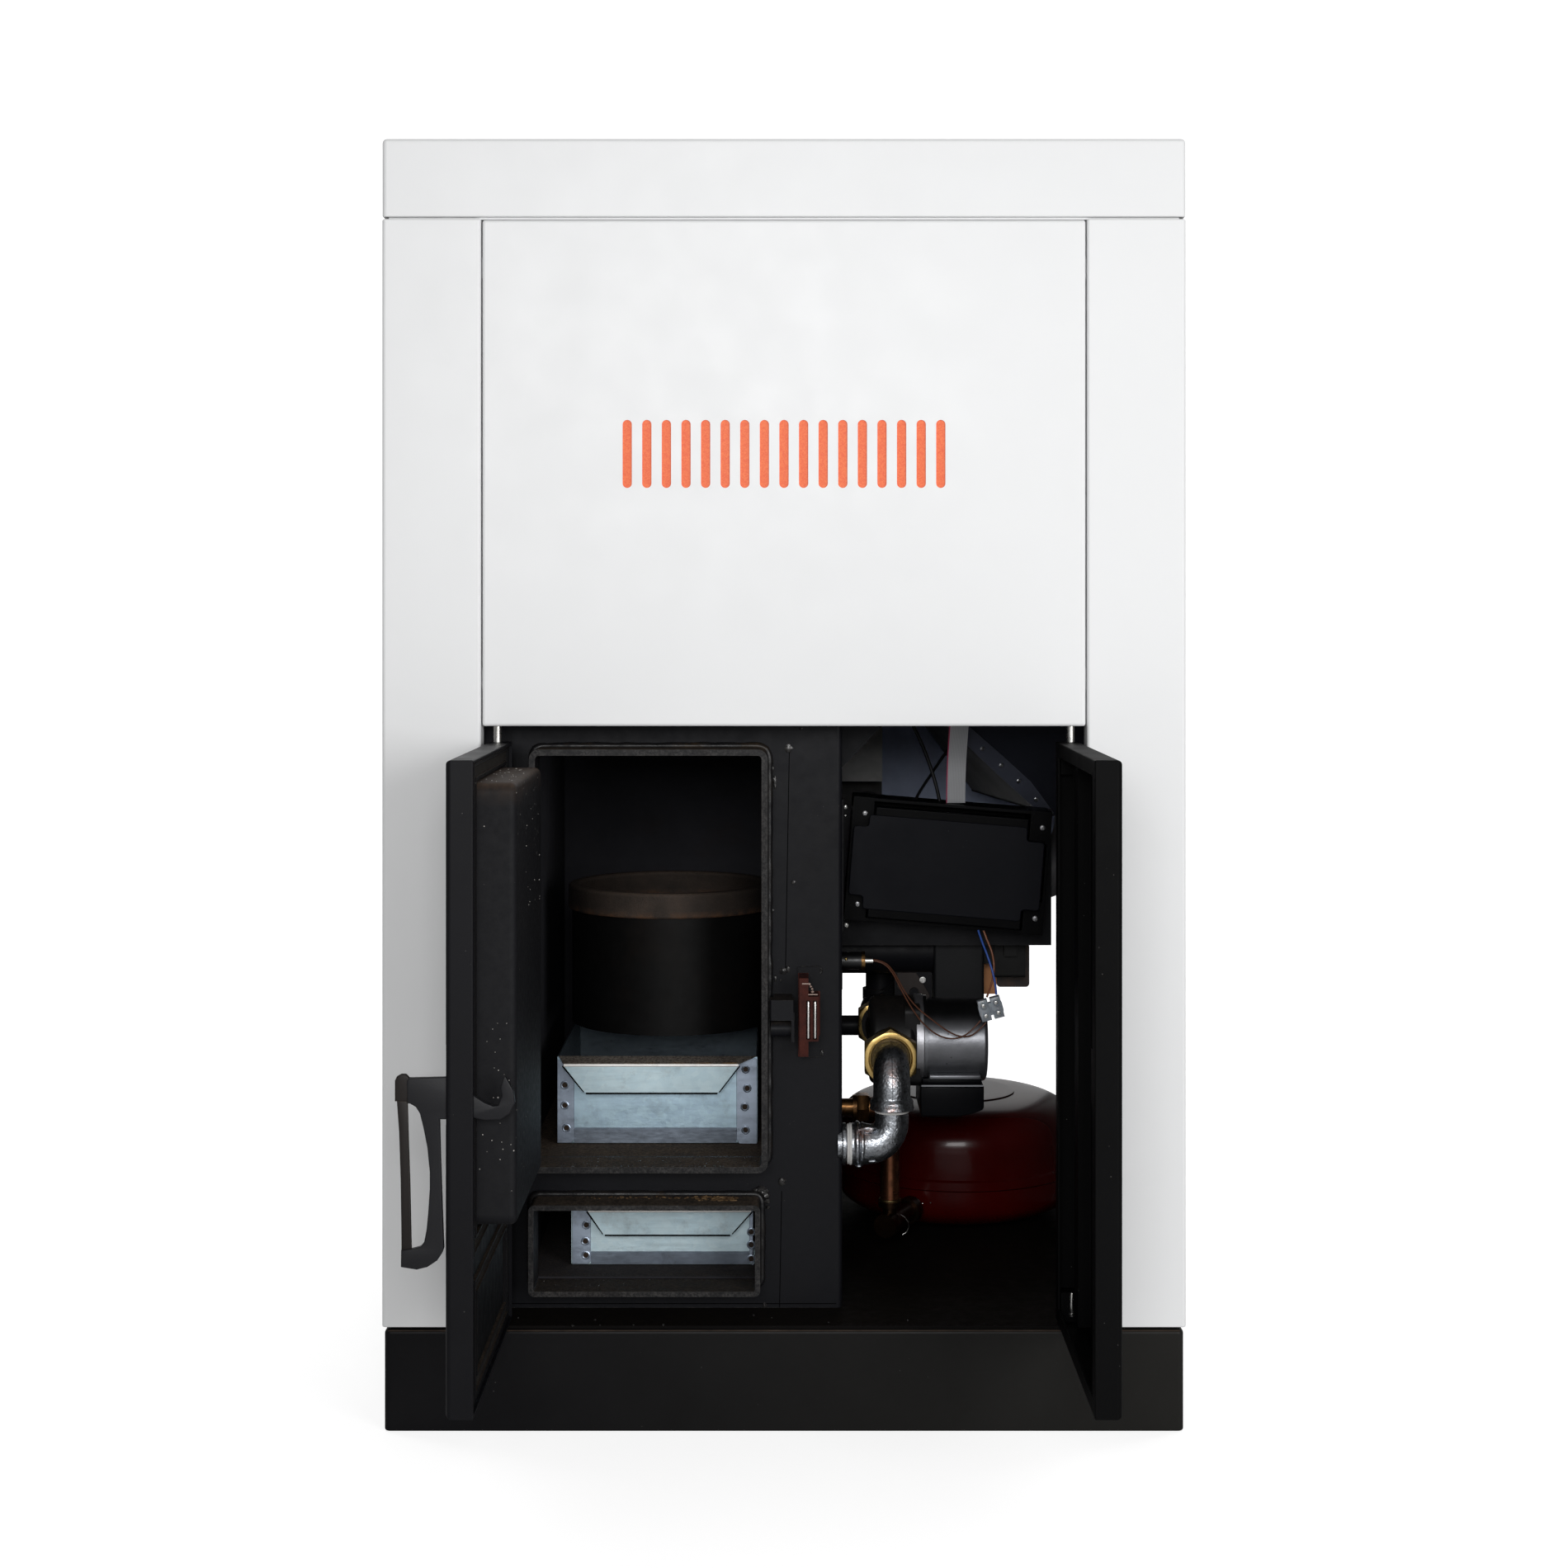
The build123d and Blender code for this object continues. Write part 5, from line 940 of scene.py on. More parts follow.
# ------------------------------------------------------------------ ash pans: pulling lip, side tabs and rivets
def pan_front(name, body, x0, x1, y, z0, z1, tabs, lip_x, lip_drop, flap_x, flap_z, crease_z, rivets):
    """Folded front of a galvanised pan."""
    t = 0.9
    g = Group()
    # side tabs bent round the front wall
    for (a, b, bottom) in tabs:
        w = 3.0
        outline = [(a, z0 + 1.0), (b - w if a < 0 and abs(a - x0) < 3 else b, z0 + 1.0), (b, z0 + 1.0 + w), (b, z1 - 12), (a, z1 - 2)]
        if abs(b - x1) < 4:
            outline = [(a, z0 + 1.0 + w), (a + w, z0 - 0.0), (b, z0 - 0.0), (b, z1 - 1.5), (a + 9, z1 - 1.5), (a, z1 - 9)]
        g.prism(outline, P(0, y, 0), (1, 0, 0), (0, 0, 1), 1.1, 0.35, 1)
    g.make(name + "_tabs", ZINC_TAB, body, angle=25)
    # the pulling lip: out from the rim, then folded down in front of the wall
    ya, yb = y - 20.0, y - 18.0
    zf = z1 - lip_drop

    def sheet_quad(g, q):
        n = (q[1] - q[0]).cross(q[3] - q[0]).normalized() * (t / 1000)
        g.add(q + [p - n for p in q], [(0, 1, 2, 3), (7, 6, 5, 4), (0, 4, 5, 1), (1, 5, 6, 2), (2, 6, 7, 3), (3, 7, 4, 0)])

    g = Group()
    sheet_quad(g, [P(x0 + 1.5, y + 0.4, z1), P(x1 - 1.5, y + 0.4, z1), P(lip_x[1], ya, zf + 0.8), P(lip_x[0], ya, zf + 0.8)])
    g.make(name + "_lip_top", ZINC_DUSTY, body, angle=25)
    g = Group()
    # the flap is in the brighter copy of the sheet: painted light
    sheet_quad(g, [P(lip_x[0], ya, zf), P(lip_x[1], ya, zf), P(flap_x[1], yb, flap_z), P(flap_x[0], yb, flap_z)])
    g.make(name + "_lip", ZINC_LIT_COPY, body, angle=25)
    # rolled front edge, near-white to paint its highlight
    g = Group()
    g.tube([P(lip_x[0] + 0.6, ya + 0.4, zf - 0.4), P(lip_x[1] - 0.6, ya + 0.4, zf - 0.4)], 1.7, 14)
    g.make(name + "_roll", ZINC_ROLL_PAINTED_HIGHLIGHT, body, angle=25)
    # painted shadow: dark lines along the slanted ends of the flap
    g = Group()
    for side, (xa, xb) in ((-1, (lip_x[0], flap_x[0])), (1, (lip_x[1], flap_x[1]))):
        run = [P(xa + side * 0.9 + (xb - xa) * k / 12, ya + 0.9 + (yb - ya) * k / 12, zf - 1.2 + (flap_z + 1.2 - zf) * k / 12) for k in range(13)]
        g.tube(run, weld(run, 0.75 if side < 0 else 0.55, xa, 0.25, 1.5), 8)
    g.make(name + "_flap_painted_shadows", DARK, body)
    g = Group()
    n = 40
    run = [P(lip_x[0] + 60 + (lip_x[1] - lip_x[0] - 62) * k / n, ya + 0.9, zf + 1.1) for k in range(n + 1)]
    g.tube(run, weld(run, 0.85, x0, 0.8), 8)
    g.make(name + "_lip_rust", RUST, body)
    g = Group()
    g.block(flap_x[0] + 1, flap_x[1] - 1, yb + 0.9, y - 1.3, flap_z - 2.3, flap_z - 0.3)
    g.make(name + "_fold_shadow", DARK, body, smooth=False)
    # bottom bend that leans back, in the darker zinc that paints its shade
    g = Group()
    a, b = tabs[0][1], tabs[1][0]
    g.add(
        [P(a, y - 1.6, crease_z), P(b, y - 1.6, crease_z), P(b, y - 0.1, z0 + 0.8), P(a, y - 0.1, z0 + 0.8),
         P(a, y + 0.1, crease_z + 2), P(b, y + 0.1, crease_z + 2)],
        [(0, 1, 2, 3), (4, 5, 1, 0)],
    )
    ob = g.make(name + "_bend", ZINC_TAB, body, smooth=False)
    mod = ob.modifiers.new("thickness", "SOLIDIFY")
    mod.thickness = 0.0004
    mod.offset = -1
    g = Group()
    h = Group()
    for x, z in rivets:
        g.lathe([(4.5, 0.0), (4.3, 0.55), (3.5, 0.9), (2.8, 0.45), (0, 0.4)], P(x, y - 1.1, z), (0, -1, 0), 20)
        h.lathe([(2.75, 0.0), (2.5, 0.35), (1.2, 0.2), (0, 0.5)], P(x, y - 1.5, z), (0, -1, 0), 16)
    g.make(name + "_spot_rims", ZINC_TAB, body)
    h.make(name + "_spot_burns", RUST_DARK, body)


yu, yl = 123.0, 109.0
pan_front(
    "upper_pan", "upper_pan", -231.6, -27.2, yu, 251.4, 340.0,
    [(-231.6, px_x(696.0, yu), 0), (px_x(892.5, yu), -27.6, 0)],
    (px_x(682.5, yu - 20), px_x(895.5, yu - 20)), 4.4, (px_x(708.5, yu - 18), px_x(870.5, yu - 18)), px_z(1323.6, yu - 18), px_z(1368.5, yu),
    [(px_x(684.5, yu), px_z(1314.5, yu)), (px_x(684.5, yu), px_z(1339, yu)), (px_x(686.5, yu), px_z(1366.5, yu)),
     (px_x(903.5, yu), px_z(1295.5, yu)), (px_x(905.5, yu), px_z(1318.5, yu)), (px_x(902.5, yu), px_z(1341, yu)), (px_x(903.5, yu), px_z(1369, yu))],
)
pan_front(
    "lower_pan", "lower_pan", -216.0, -30.0, yl, 131.4, 196.0,
    [(px_x(693.5, yl), px_x(716, yl), 0), (px_x(908, yl), -31.0, 0)],
    (px_x(712, yl - 20), px_x(911, yl - 20)), 4.4, (px_x(731.5, yl - 18), px_x(886, yl - 18)), px_z(1495.6, yl - 18), px_z(1518.5, yl),
    [(px_x(710.5, yl), px_z(1484, yl)), (px_x(709.5, yl), px_z(1503.5, yl)), (px_x(710, yl), px_z(1520.5, yl)),
     (px_x(910.3, yl), px_z(1492.5, yl)), (px_x(910.3, yl), px_z(1508, yl)), (px_x(910.3, yl), px_z(1525, yl))],
)

# ------------------------------------------------------------------ weld beads, seams and spatter on the body front
g = Group()
for x0, x1, z0, z1, r in ((-250, -16, 245, 660, 10), (-250.5, -23.4, 124, 213.4, 6)):
    path = rounded_path([(x0 - 1.2, z0 - 1.2), (x1 + 1.2, z0 - 1.2), (x1 + 1.2, z1 + 1.2), (x0 - 1.2, z1 + 1.2)], r + 3, 1.8)
    pts = [P(q.x, 63.2, q.y) for q in path]
    g.tube(pts, weld(pts, 3.5, x0, 0.30), 12, closed=True)
g.make("frame_welds", BEAD)

g = Group()
for a, b in (((956.4, 911), (951.8, 1176)), ((947.2, 1443), (944.6, 1584))):
    g.tube([Q(*a, 64.95), Q(*b, 64.95)], 0.42, 6)
for a, b in (((963.5, 876), (963.5, 882)),):
    g.tube([Q(*a, 64.95), Q(*b, 64.95)], 0.42, 6)
g.tube([P(x, 64.95, 105 + 0.0 * x) for x in (-360, 52)], 0.5, 6)
g.make("plate_seams", DARK)

g = Group()
for i, (px, py, size) in enumerate((
    (955.5, 907, (4.0, 1.2, 4.0)), (961.2, 1069, (2.6, 1.2, 2.0)), (950.0, 1176.5, (4.2, 2.6, 3.8)), (954.6, 1174.2, (2.2, 2.8, 3.0)),
    (974.5, 1174.2, (5.0, 2.4, 3.0)), (970.2, 1177.0, (1.8, 2.0, 2.6)), (947.0, 1432, (3.4, 2.2, 4.4)), (950.0, 1430.5, (2.0, 2.4, 2.6)),
    (970.5, 883, (2.2, 1.4, 1.2)), (996.0, 1275, (2.0, 2.0, 3.2)), (926.5, 1582, (2.2, 1.4, 2.8)),
    (939.8, 1186, (1.2, 1.0, 3.4)), (946.0, 1188, (1.0, 0.8, 1.6)),
)):
    blob(g, Q(px, py, 64.6), size, i + 1.3, 0.35)
# lumps where the bead turns the corners of the lower frame
for i, (px, py, r) in enumerate(((915.5, 1442.5, 3.0), (920.5, 1440.8, 4.2), (925.5, 1443, 4.4), (928.8, 1448.5, 3.8), (930.0, 1455.5, 3.2), (930.5, 1463, 2.4))):
    blob(g, Q(px, py, 63.6), (r, 2.6, r * 0.8), i + 40.2, 0.3)
for i, (px, py, r) in enumerate(((935.8, 923, 2.2), (936.6, 931, 1.8), (938.8, 946, 2.6), (939.2, 952, 2.0), (936.2, 1104, 1.6))):
    blob(g, Q(px, py, 64.4), (r * 0.7, 1.4, r * 1.7), i + 60.5, 0.3)
g.make("weld_spatter", SPATTER)

# oval nut shape beside the catch and the ragged bead under it
g = Group()
for c, rx, rz, r in ((Q(988.3, 1176.2, 63.6), 6.0, 3.9, 1.1), (Q(984.5, 1277.5, 64.0), 10.5, 2.6, 0.8)):
    ring = [c + Vector((math.cos(t) * rx / 1000, 0, math.sin(t) * rz / 1000)) for t in [2 * math.pi * k / 28 for k in range(28)]]
    g.tube(ring, weld(ring, r, 3.3, 0.6, 1.9), 8, closed=True)
blob(g, Q(988.0, 1176.4, 64.2), (4.6, 1.6, 2.8), 5.5, 0.5, 3)
g.make("plate_bead_rings", BEAD)

# rust flakes on the lower frame's top and along its joint
g = Group()
rnd = random.Random(11)
for i in range(120):
    u = rnd.random()
    px = 700 + 190 * u if i % 3 else rnd.uniform(842, 892)
    dense = 842 < px < 892
    y = rnd.uniform(42, 58) if dense else rnd.uniform(50, 57)
    k = (1.5 if dense else 0.8) * rnd.uniform(0.5, 1.25)
    blob(g, P(px_x(px, y), y, 213.5 + 0.15 * k), (k * rnd.uniform(1.0, 2.4), k * 1.2, 0.55 * k), i + 0.7, 0.5, 1)
g.make("rust_flakes", RUST)

# grit lying on ledges and on the floor plate
g = Group()
for i, (px, py, y, z, r) in enumerate((
    (693.5, 1607, 0, 0, 1.5), (721, 1600, 0, 0, 1.2), (803.6, 1606, 0, 0, 1.2), (767.6, 1606, 0, 0, 0.9), (913, 1594, 0, 0, 1.1),
    (727, 1606, 0, 0, 0.7), (935, 1597, 0, 0, 0.7), (1004, 1603, 0, 0, 1.0), (1100, 1600, 0, 0, 0.9), (628, 1597, 0, 0, 0.8),
)):
    depth = (796 - 101.2) * 2830 / (py - 740) - 2264
    blob(g, P(px_x(px, depth), depth, 101.2 + r * 0.4), (r, r, r * 0.7), i + 9.1, 0.4, 2)
for i in range(150):
    px = rnd.uniform(676, 925)
    y = rnd.uniform(24, 60)
    if i % 2:
        y = 24.6 + abs(rnd.gauss(0, 1.5))
    r = rnd.uniform(0.25, 0.8)
    blob(g, P(px_x(px, y), y, 251.0 + r * 0.3), (r, r, r * 0.6), i * 0.37, 0.4, 1)
for i in range(40):
    px, y, r = rnd.uniform(650, 915), rnd.uniform(24, 100), rnd.uniform(0.25, 0.7)
    blob(g, P(px_x(px, y), y, 129.0 + r * 0.3), (r, r, r * 0.6), i * 0.53, 0.4, 1)
g.make("grit", SPATTER)

# worn line along the plinth's top front edge
g = Group()
run = [P(-384 + 768 * k / 160, 2.35, 97.35) for k in range(161)]
g.tube(run, weld(run, 0.75, 2.0, 0.5, 11.0), 8)
g.make("plinth_edge_line", RUST_DARK)

# ------------------------------------------------------------------ catch: spring bars, and pale ridges and lumps that paint highlights
g = Group()
for x0, x1 in ((22.9, 24.8), (29.6, 31.5)):
    g.block(x0, x1, 26.2, 36.0, 376.3, 412.6, 0.7, 3)
g.make("catch_bars", CATCH_STEEL)
# painted highlights: small ridges and lumps in a pale colour on the moulding
g = Group()
g.block(17.6, 24.2, 28.1, 29.4, 429.0, 430.4, 0.5, 2)
g.block(23.6, 33.2, 28.1, 29.4, 418.6, 419.8, 0.5, 2)
for k, (x, z) in enumerate(((24.9, 429.4), (26.2, 427.0), (27.6, 424.6), (28.0, 421.8))):
    blob(g, P(x, 28.9 + 0.0 * k, z), (1.2, 1.0, 1.1), k + 3.0, 0.3, 2)
g.make("catch_painted_highlights", CATCH_PAINTED_HIGHLIGHT)

# ------------------------------------------------------------------ latch lever
V = lambda v, z: (-279.0 + v, z)
plate = [
    (-10.6, 395.9), (-42.5, 395.2), (-44.6, 392.5), (-43.9, 373.4), (-41.8, 373.3), (-36.8, 370.4), (-33.3, 364.8), (-30.4, 353.4),
    (-26.9, 335.7), (-24.8, 314.5), (-24.8, 300.3), (-26.2, 279.1), (-27.6, 264.9), (-29.7, 254.3), (-32.6, 250.8), (-37.5, 249.3),
    (-40.4, 248.6), (-49.4, 247.4), (-49.6, 233.1), (-36.1, 230.9), (-26.9, 233.1), (-18.4, 238.7), (-14.2, 245.1), (-12.7, 249.3),
    (-13.4, 264.9), (-15.6, 328.6), (-16.3, 359.8), (-10.6, 359.8), (12.4, 361.2), (22.3, 359.1), (35.9, 359.8), (43.9, 364.8),
    (48.2, 374.0), (46.7, 384.6), (39.7, 397.3), (35.9, 387.4), (37.3, 380.3), (34.0, 371.8), (29.8, 371.1), (22.3, 374.0),
    (12.4, 380.3), (4.0, 389.0),
]
g = Group()
g.prism([V(*q) for q in plate], P(0, -256.0, 0), (1, 0, 0), (0, 0, 1), 6.0, 0.9, 3)
lever_plate = g.make("latch_lever_plate", LEVER, "latch", angle=40)
g = Group()
bar = [
    (-53.3, 376.0), (-51.3, 348.5), (-50.0, 307.4), (-49.3, 257.8), (-49.3, 246.5), (-40.6, 246.5), (-40.6, 249.3), (-41.9, 307.4),
    (-43.3, 348.5), (-44.0, 376.0),
]
g.prism([V(*q) for q in bar], P(0, -257.2, 0), (1, 0, 0), (0, 0, 1), 3.4, 0.8, 2)
# the bend that joins bar and plate at the top
bend = [(-54.9, 375.0), (-54.9, 392.6), (-53.2, 396.4), (-49.2, 398.6), (-45.4, 398.4), (-42.4, 395.4), (-42.0, 388.0), (-43.4, 374.6)]
g.prism([V(*q) for q in bend], P(0, -256.4, 0), (1, 0, 0), (0, 0, 1), 5.0, 1.6, 3)
lever_bar = g.make("latch_lever_bar", LEVER_BAR, "latch", angle=40)
g = Group()
shaft = P(-279.0, -244.0, 377.0)
g.lathe([(4.5, 0), (4.5, 19.2), (4.2, 20.6), (2.9, 20.6), (2.6, 20.0), (0, 20.0)], shaft, (0, -1, 0), 32)
g.lathe([(7.2, 0), (7.2, 0.9), (6.7, 1.3), (4.4, 1.3)], P(-279.0, -262.0, 377.0), (0, -1, 0), 32)
lever_shaft = g.make("latch_lever_shaft", LEVER, "latch")
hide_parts("latch_lever")

# ------------------------------------------------------------------ control box: raised lid face, screws, bracket screws
BX = Vector((math.cos(math.radians(4.7)), 0, -math.sin(math.radians(4.7))))
BZ = Vector((math.sin(math.radians(4.7)), 0, math.cos(math.radians(4.7))))


def BP(u, v, y):
    """Point of the control box: u across, v up, y the depth."""
    return P(171.5, y, 529.6) + BX * (u / 1000) + BZ * (v / 1000)


def box_uv(px, py, y):
    d = Q(px, py, y) - P(171.5, y, 529.6)
    return d.dot(BX) * 1000, d.dot(BZ) * 1000


g = Group()
hw, hh = 97.6, 49.0
n1, n2 = 18.6, 12.5
left = -102.2
outline = [
    (left + 15.5, hh), (hw - n1 - 1, hh), (hw - n1 - 1, hh - n2 - 2), (hw - 1.0, hh - n2 - 2), (hw - 1.0, -hh + n2), (hw - n1 - 1, -hh + n2),
    (hw - n1 - 1, -hh), (left + 15.5, -hh), (left + 15.5, -hh + n2 + 1), (left, -hh + n2 + 1), (left, hh - n2), (left + 15.5, hh - n2),
]


def soften(poly, r, n=5):
    """Polygon with its corners rounded, inward and outward ones alike."""
    out = []
    for i in range(len(poly)):
        a, b, c = [Vector((*poly[(i + k) % len(poly)], 0)) for k in (-1, 0, 1)]
        u, v = (a - b).normalized(), (c - b).normalized()
        for k in range(n + 1):
            t = k / n
            q = (b + u * r) * (1 - t) ** 2 + b * (2 * t * (1 - t)) + (b + v * r) * t ** 2
            out.append((q.x, q.y))
    return out


g.prism(soften(outline, 4.0), BP(0, -1.0, 160.6), BX, BZ, 1.6, 0.9, 3)
face = g.make("control_box_face", BOX_FACE)
for f in face.data.polygons:
    if f.area > 0.001:
        f.use_smooth = False
g = Group()
for su in (-1, 1):
    for sv in (-1, 1):
        g.screw(BP(su * 93 + 2, sv * 47.5, 176.4), (0, -1, 0), 3.3, 2.4)
g.make("control_box_screws", BOX_SCREW)
g = Group()
for px, py, y, r in ((1024.5, 978, 238, 2.6), (1025.5, 1121, 238, 3.0), (1024.5, 988, 238, 1.6)):
    g.screw(Q(px, py, 234.9), (0, -1, 0), r, 1.6)
g.make("bracket_screws", STEEL)

# ------------------------------------------------------------------ water side: cast elbows, nuts, pump flange and terminal box
def bend(points, radius, step=1.2):
    """Dense points along two runs joined by an arc, for a rigid fitting; also the share at each point in mm."""
    a, b, c = [Vector(q) for q in points]
    p, q = (a - b).normalized(), (c - b).normalized()
    ang = p.angle(q)
    cut = radius / math.tan(ang / 2)
    s0, e0 = b + p * cut, b + q * cut
    centre = b + (p + q).normalized() * (radius / math.sin(ang / 2))
    out = []
    n1 = max(2, int((s0 - a).length / step))
    out += [a + (s0 - a) * (k / n1) for k in range(n1)]
    u, v = (s0 - centre), (e0 - centre)
    total = u.angle(v)
    n2 = max(6, int(radius * total / step))
    for k in range(n2):
        t = k / n2
        out.append((u * math.sin((1 - t) * total) + v * math.sin(t * total)) / math.sin(total) + centre)
    n3 = max(2, int((c - e0).length / step))
    out += [e0 + (c - e0) * (k / n3) for k in range(n3 + 1)]
    dist = [0.0]
    for i in range(1, len(out)):
        dist.append(dist[-1] + (out[i] - out[i - 1]).length)
    return [P(*q) for q in out], dist


def bumps(dist, base, bands):
    """Radius along a casting: (from, to, extra, soft) bands over a base that may change from end to end."""
    r0, r1 = base
    total = dist[-1]
    def f(i, share, t):
        d = dist[i]
        k = d / total
        r = r0 + (r1 - r0) * (k * k * (3 - 2 * k))
        for a, b, h, soft in bands:
            m = min((d - a) / soft, (b - d) / soft, 1.0)
            if m > 0:
                r += h * math.sin(m * math.pi / 2)
        return r + 0.16 * noise.noise(Vector((d * 0.35, math.cos(t) * 4, math.sin(t) * 4)))
    return f


g = Group()
pts, dist = bend([(108, 118, 342), (108, 76, 342), (108, 76, 297.2)], 26)
L = dist[-1]
g.tube(pts, bumps(dist, (18.5, 18.7), [(0, 6, 0.9, 2.0), (L - 11.5, L + 3.0, 2.9, 5.0), (L - 2.6, L + 3.0, 0.9, 0.9)]), 48)
# parting line and the short ribs on the flare
run = []
for i, q in enumerate(pts):
    d = dist[i]
    if 7 < d < L - 10:
        a = pts[max(0, i - 1)]
        b = pts[min(len(pts) - 1, i + 1)]
        t = (b - a).normalized()
        outward = t.cross(Vector((1, 0, 0))).normalized()
        if outward.y > 0:
            outward = -outward
        if abs(outward.y) < 0.2:
            outward = Vector((0, 0, 1)) if outward.z > 0 else -outward
        run.append(q + outward * 0.0184)
g.tube(run, weld(run, 0.55, 4.0, 0.5, 2.1), 8)
for ang in (0, -64, -50, 58, 180, 120, -120):
    a = math.radians(ang)
    c = P(108, 76, 303.2) + Vector((math.sin(a) * 0.0192, -math.cos(a) * 0.0192, 0))
    blob(g, c, (1.5, 1.5, 4.6), ang, 0.12, 2)
upper_elbow = g.make("elbow_upper", CAST_IRON, angle=60)
g = Group()
pts, dist = bend([(108, 76, 296.5), (108, 76, 262), (67.8, 76, 262)], 23)
L = dist[-1]
g.tube(pts, bumps(dist, (16.4, 20.6), [(L - 12.5, L - 8.6, 1.2, 1.2), (L - 7.8, L - 3.0, 2.1, 1.2)]), 48)
run = []
for i, q in enumerate(pts):
    if 5 < dist[i] < L - 13:
        a, b = pts[i - 1], pts[i + 1]
        t = (b - a).normalized()
        outward = Vector((0, 1, 0)).cross(t).normalized()
        outward = outward if (outward.x > 0 or outward.z < -0.5) else -outward
        r = 0.0164 + (0.0206 - 0.0164) * (dist[i] / L) ** 2
        run.append(q + outward * r)
g.tube(run, weld(run, 0.5, 6.0, 0.5, 2.1), 8)
for c, size in ((P(84, 62, 279.5), (8.0, 3.0, 3.4)), (P(74.5, 60, 243.5), (3.0, 2.4, 1.6)), (P(78, 55.2, 256), (1.4, 1.0, 4.0)), (P(88, 56, 249), (4.0, 1.0, 1.2))):
    blob(g, c, size, c.x * 900, 0.2, 3)
lower_elbow = g.make("elbow_lower", CAST_IRON, angle=60)
g = Group()
for (c, ax, prof) in (
    (P(67.8, 76, 262), (-1, 0, 0), [(20.4, 0), (20.9, 1.6), (19.9, 3.2), (19.6, 4.6), (17.5, 5.2)]),
    (P(108, 76, 298.2), (0, 0, -1), [(18.0, 0), (18.6, 1.0), (18.2, 2.6), (17.0, 4.2)]),
):
    g.lathe(prof, c, ax, 44)
elbow_tape = g.make("thread_tape", TAPE)
g = Group()
g.lathe([(16.2, -1), (16.2, 8.2)], P(62.0, 76, 262), (-1, 0, 0), 36)
g.lathe([(20.8, 0), (20.8, 2.6), (19.8, 3.6)], P(61.6, 76, 262), (-1, 0, 0), 36)
elbow_socket = g.make("elbow_socket", CAST_IRON)
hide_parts("return_elbows")


def hex_nut(g, ring, centre, axis, af, h, bore, turn):
    """Union nut with chamfered corners; the outline starts turned by an angle about the axis."""
    a = Vector(axis).normalized()
    u = Vector((1, 0, 0))
    w = a.cross(u)
    steps, rc = 120, af / 2 * 1.035
    cols = []
    for k in range(steps):
        t = 2 * math.pi * k / steps
        ph = (t - turn) % (math.pi / 3) - math.pi / 6
        rh = af / 2 / math.cos(ph)
        drop = max(0.0, rh - rc) * 0.75
        d = u * math.cos(t) + w * math.sin(t)
        col = [(bore, 0.6), (bore, 0.0), (min(rh, rc) - 0.5, 0.0), (min(rh, rc), 0.25), (rh, 0.25 + drop), (rh, h - 0.25 - drop), (min(rh, rc), h - 0.25), (min(rh, rc) - 0.6, h), (22.6, h), (22.1, h - 0.6), (21.0, h - 4.2), (bore, h - 4.2)]
        cols.append([centre + d * (r / 1000) + a * (z / 1000) for r, z in col])
    n = len(cols[0])
    g.add([q for col in cols for q in col], [(i * n + k, ((i + 1) % steps) * n + k, ((i + 1) % steps) * n + k + 1, i * n + k + 1) for i in range(steps) for k in range(n - 1)])
    ring.lathe([(19.4, 1.0), (20.6, h - 4.4), (20.5, h - 1.6), (19.4, h - 1.0), (18.2, h - 1.2), (18.0, h - 3.0)], centre, axis, 60)


g, ring = Group(), Group()
hex_nut(g, ring, P(108, 120, 342), (0, -1, 0), 52, 20, 19.2, math.pi / 6)
hex_nut(g, ring, P(108, 300, 342), (0, 1, 0), 52, 20, 19.2, math.pi / 6)
nuts = g.make("union_nuts_brass", BRASS, angle=28)
ring.make("union_tail_rings", BRASS_DARK)
g = Group()
for y, k in ((103.4, 19.5), (100.9, 21.9), (316.6, 19.5)):
    pts = [P(108 + k * math.sin(t), y, 342 + k * math.cos(t)) for t in [2 * math.pi * i / 60 for i in range(60)]]
    g.tube(pts, 0.5 if k < 20 else 0.35, 8, closed=True)
g.make("union_bright_lips", BRASS)
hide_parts("union_nuts")

g = Group()
g.lathe([(40, 0), (47.0, 0), (47.9, 0.8), (47.9, 8.0), (47.0, 8.8), (43, 8.8)], P(137.6, 210, 342), (1, 0, 0), 72)
g.make("pump_clamp_ring", ALU)
g = Group()
for k in range(4):
    a = math.radians(45 + 90 * k)
    g.hexagon(P(134.5, 210 + 49 * math.cos(a) * 0.88, 342 + 49 * math.sin(a) * 0.88), (-1, 0, 0), 8, 4.5)
g.make("pump_flange_bolts", STEEL)
g = Group()
g.block(150.6, 205, 163.5, 256, 308.3, 313.4, 1.6, 3)
g.make("pump_terminal_ledge", MOTOR)
g = Group()
outline = [(141.8, 273.2), (144.2, 270.9), (183.0, 270.6), (197.0, 273.6), (206.0, 277.4), (207.6, 280.0), (207.6, 301.6), (141.8, 301.6)]
g.prism(outline, P(0, 250, 0), (1, 0, 0), (0, 0, 1), 90, 1.3, 3)
g.block(144, 206, 168, 244, 301.0, 308.8, 1.0, 2)
term_box = g.make("pump_terminal_box_moulding", PUMP_BLACK)
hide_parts("pump_terminal_box")
g = Group()
g.block(142.4, 207.0, 159.6, 163.0, 301.9, 303.4, 0.5, 2)
g.block(142.4, 207.0, 247.0, 250.2, 301.9, 303.4, 0.5, 2)
g.make("pump_terminal_seal", SEAL)

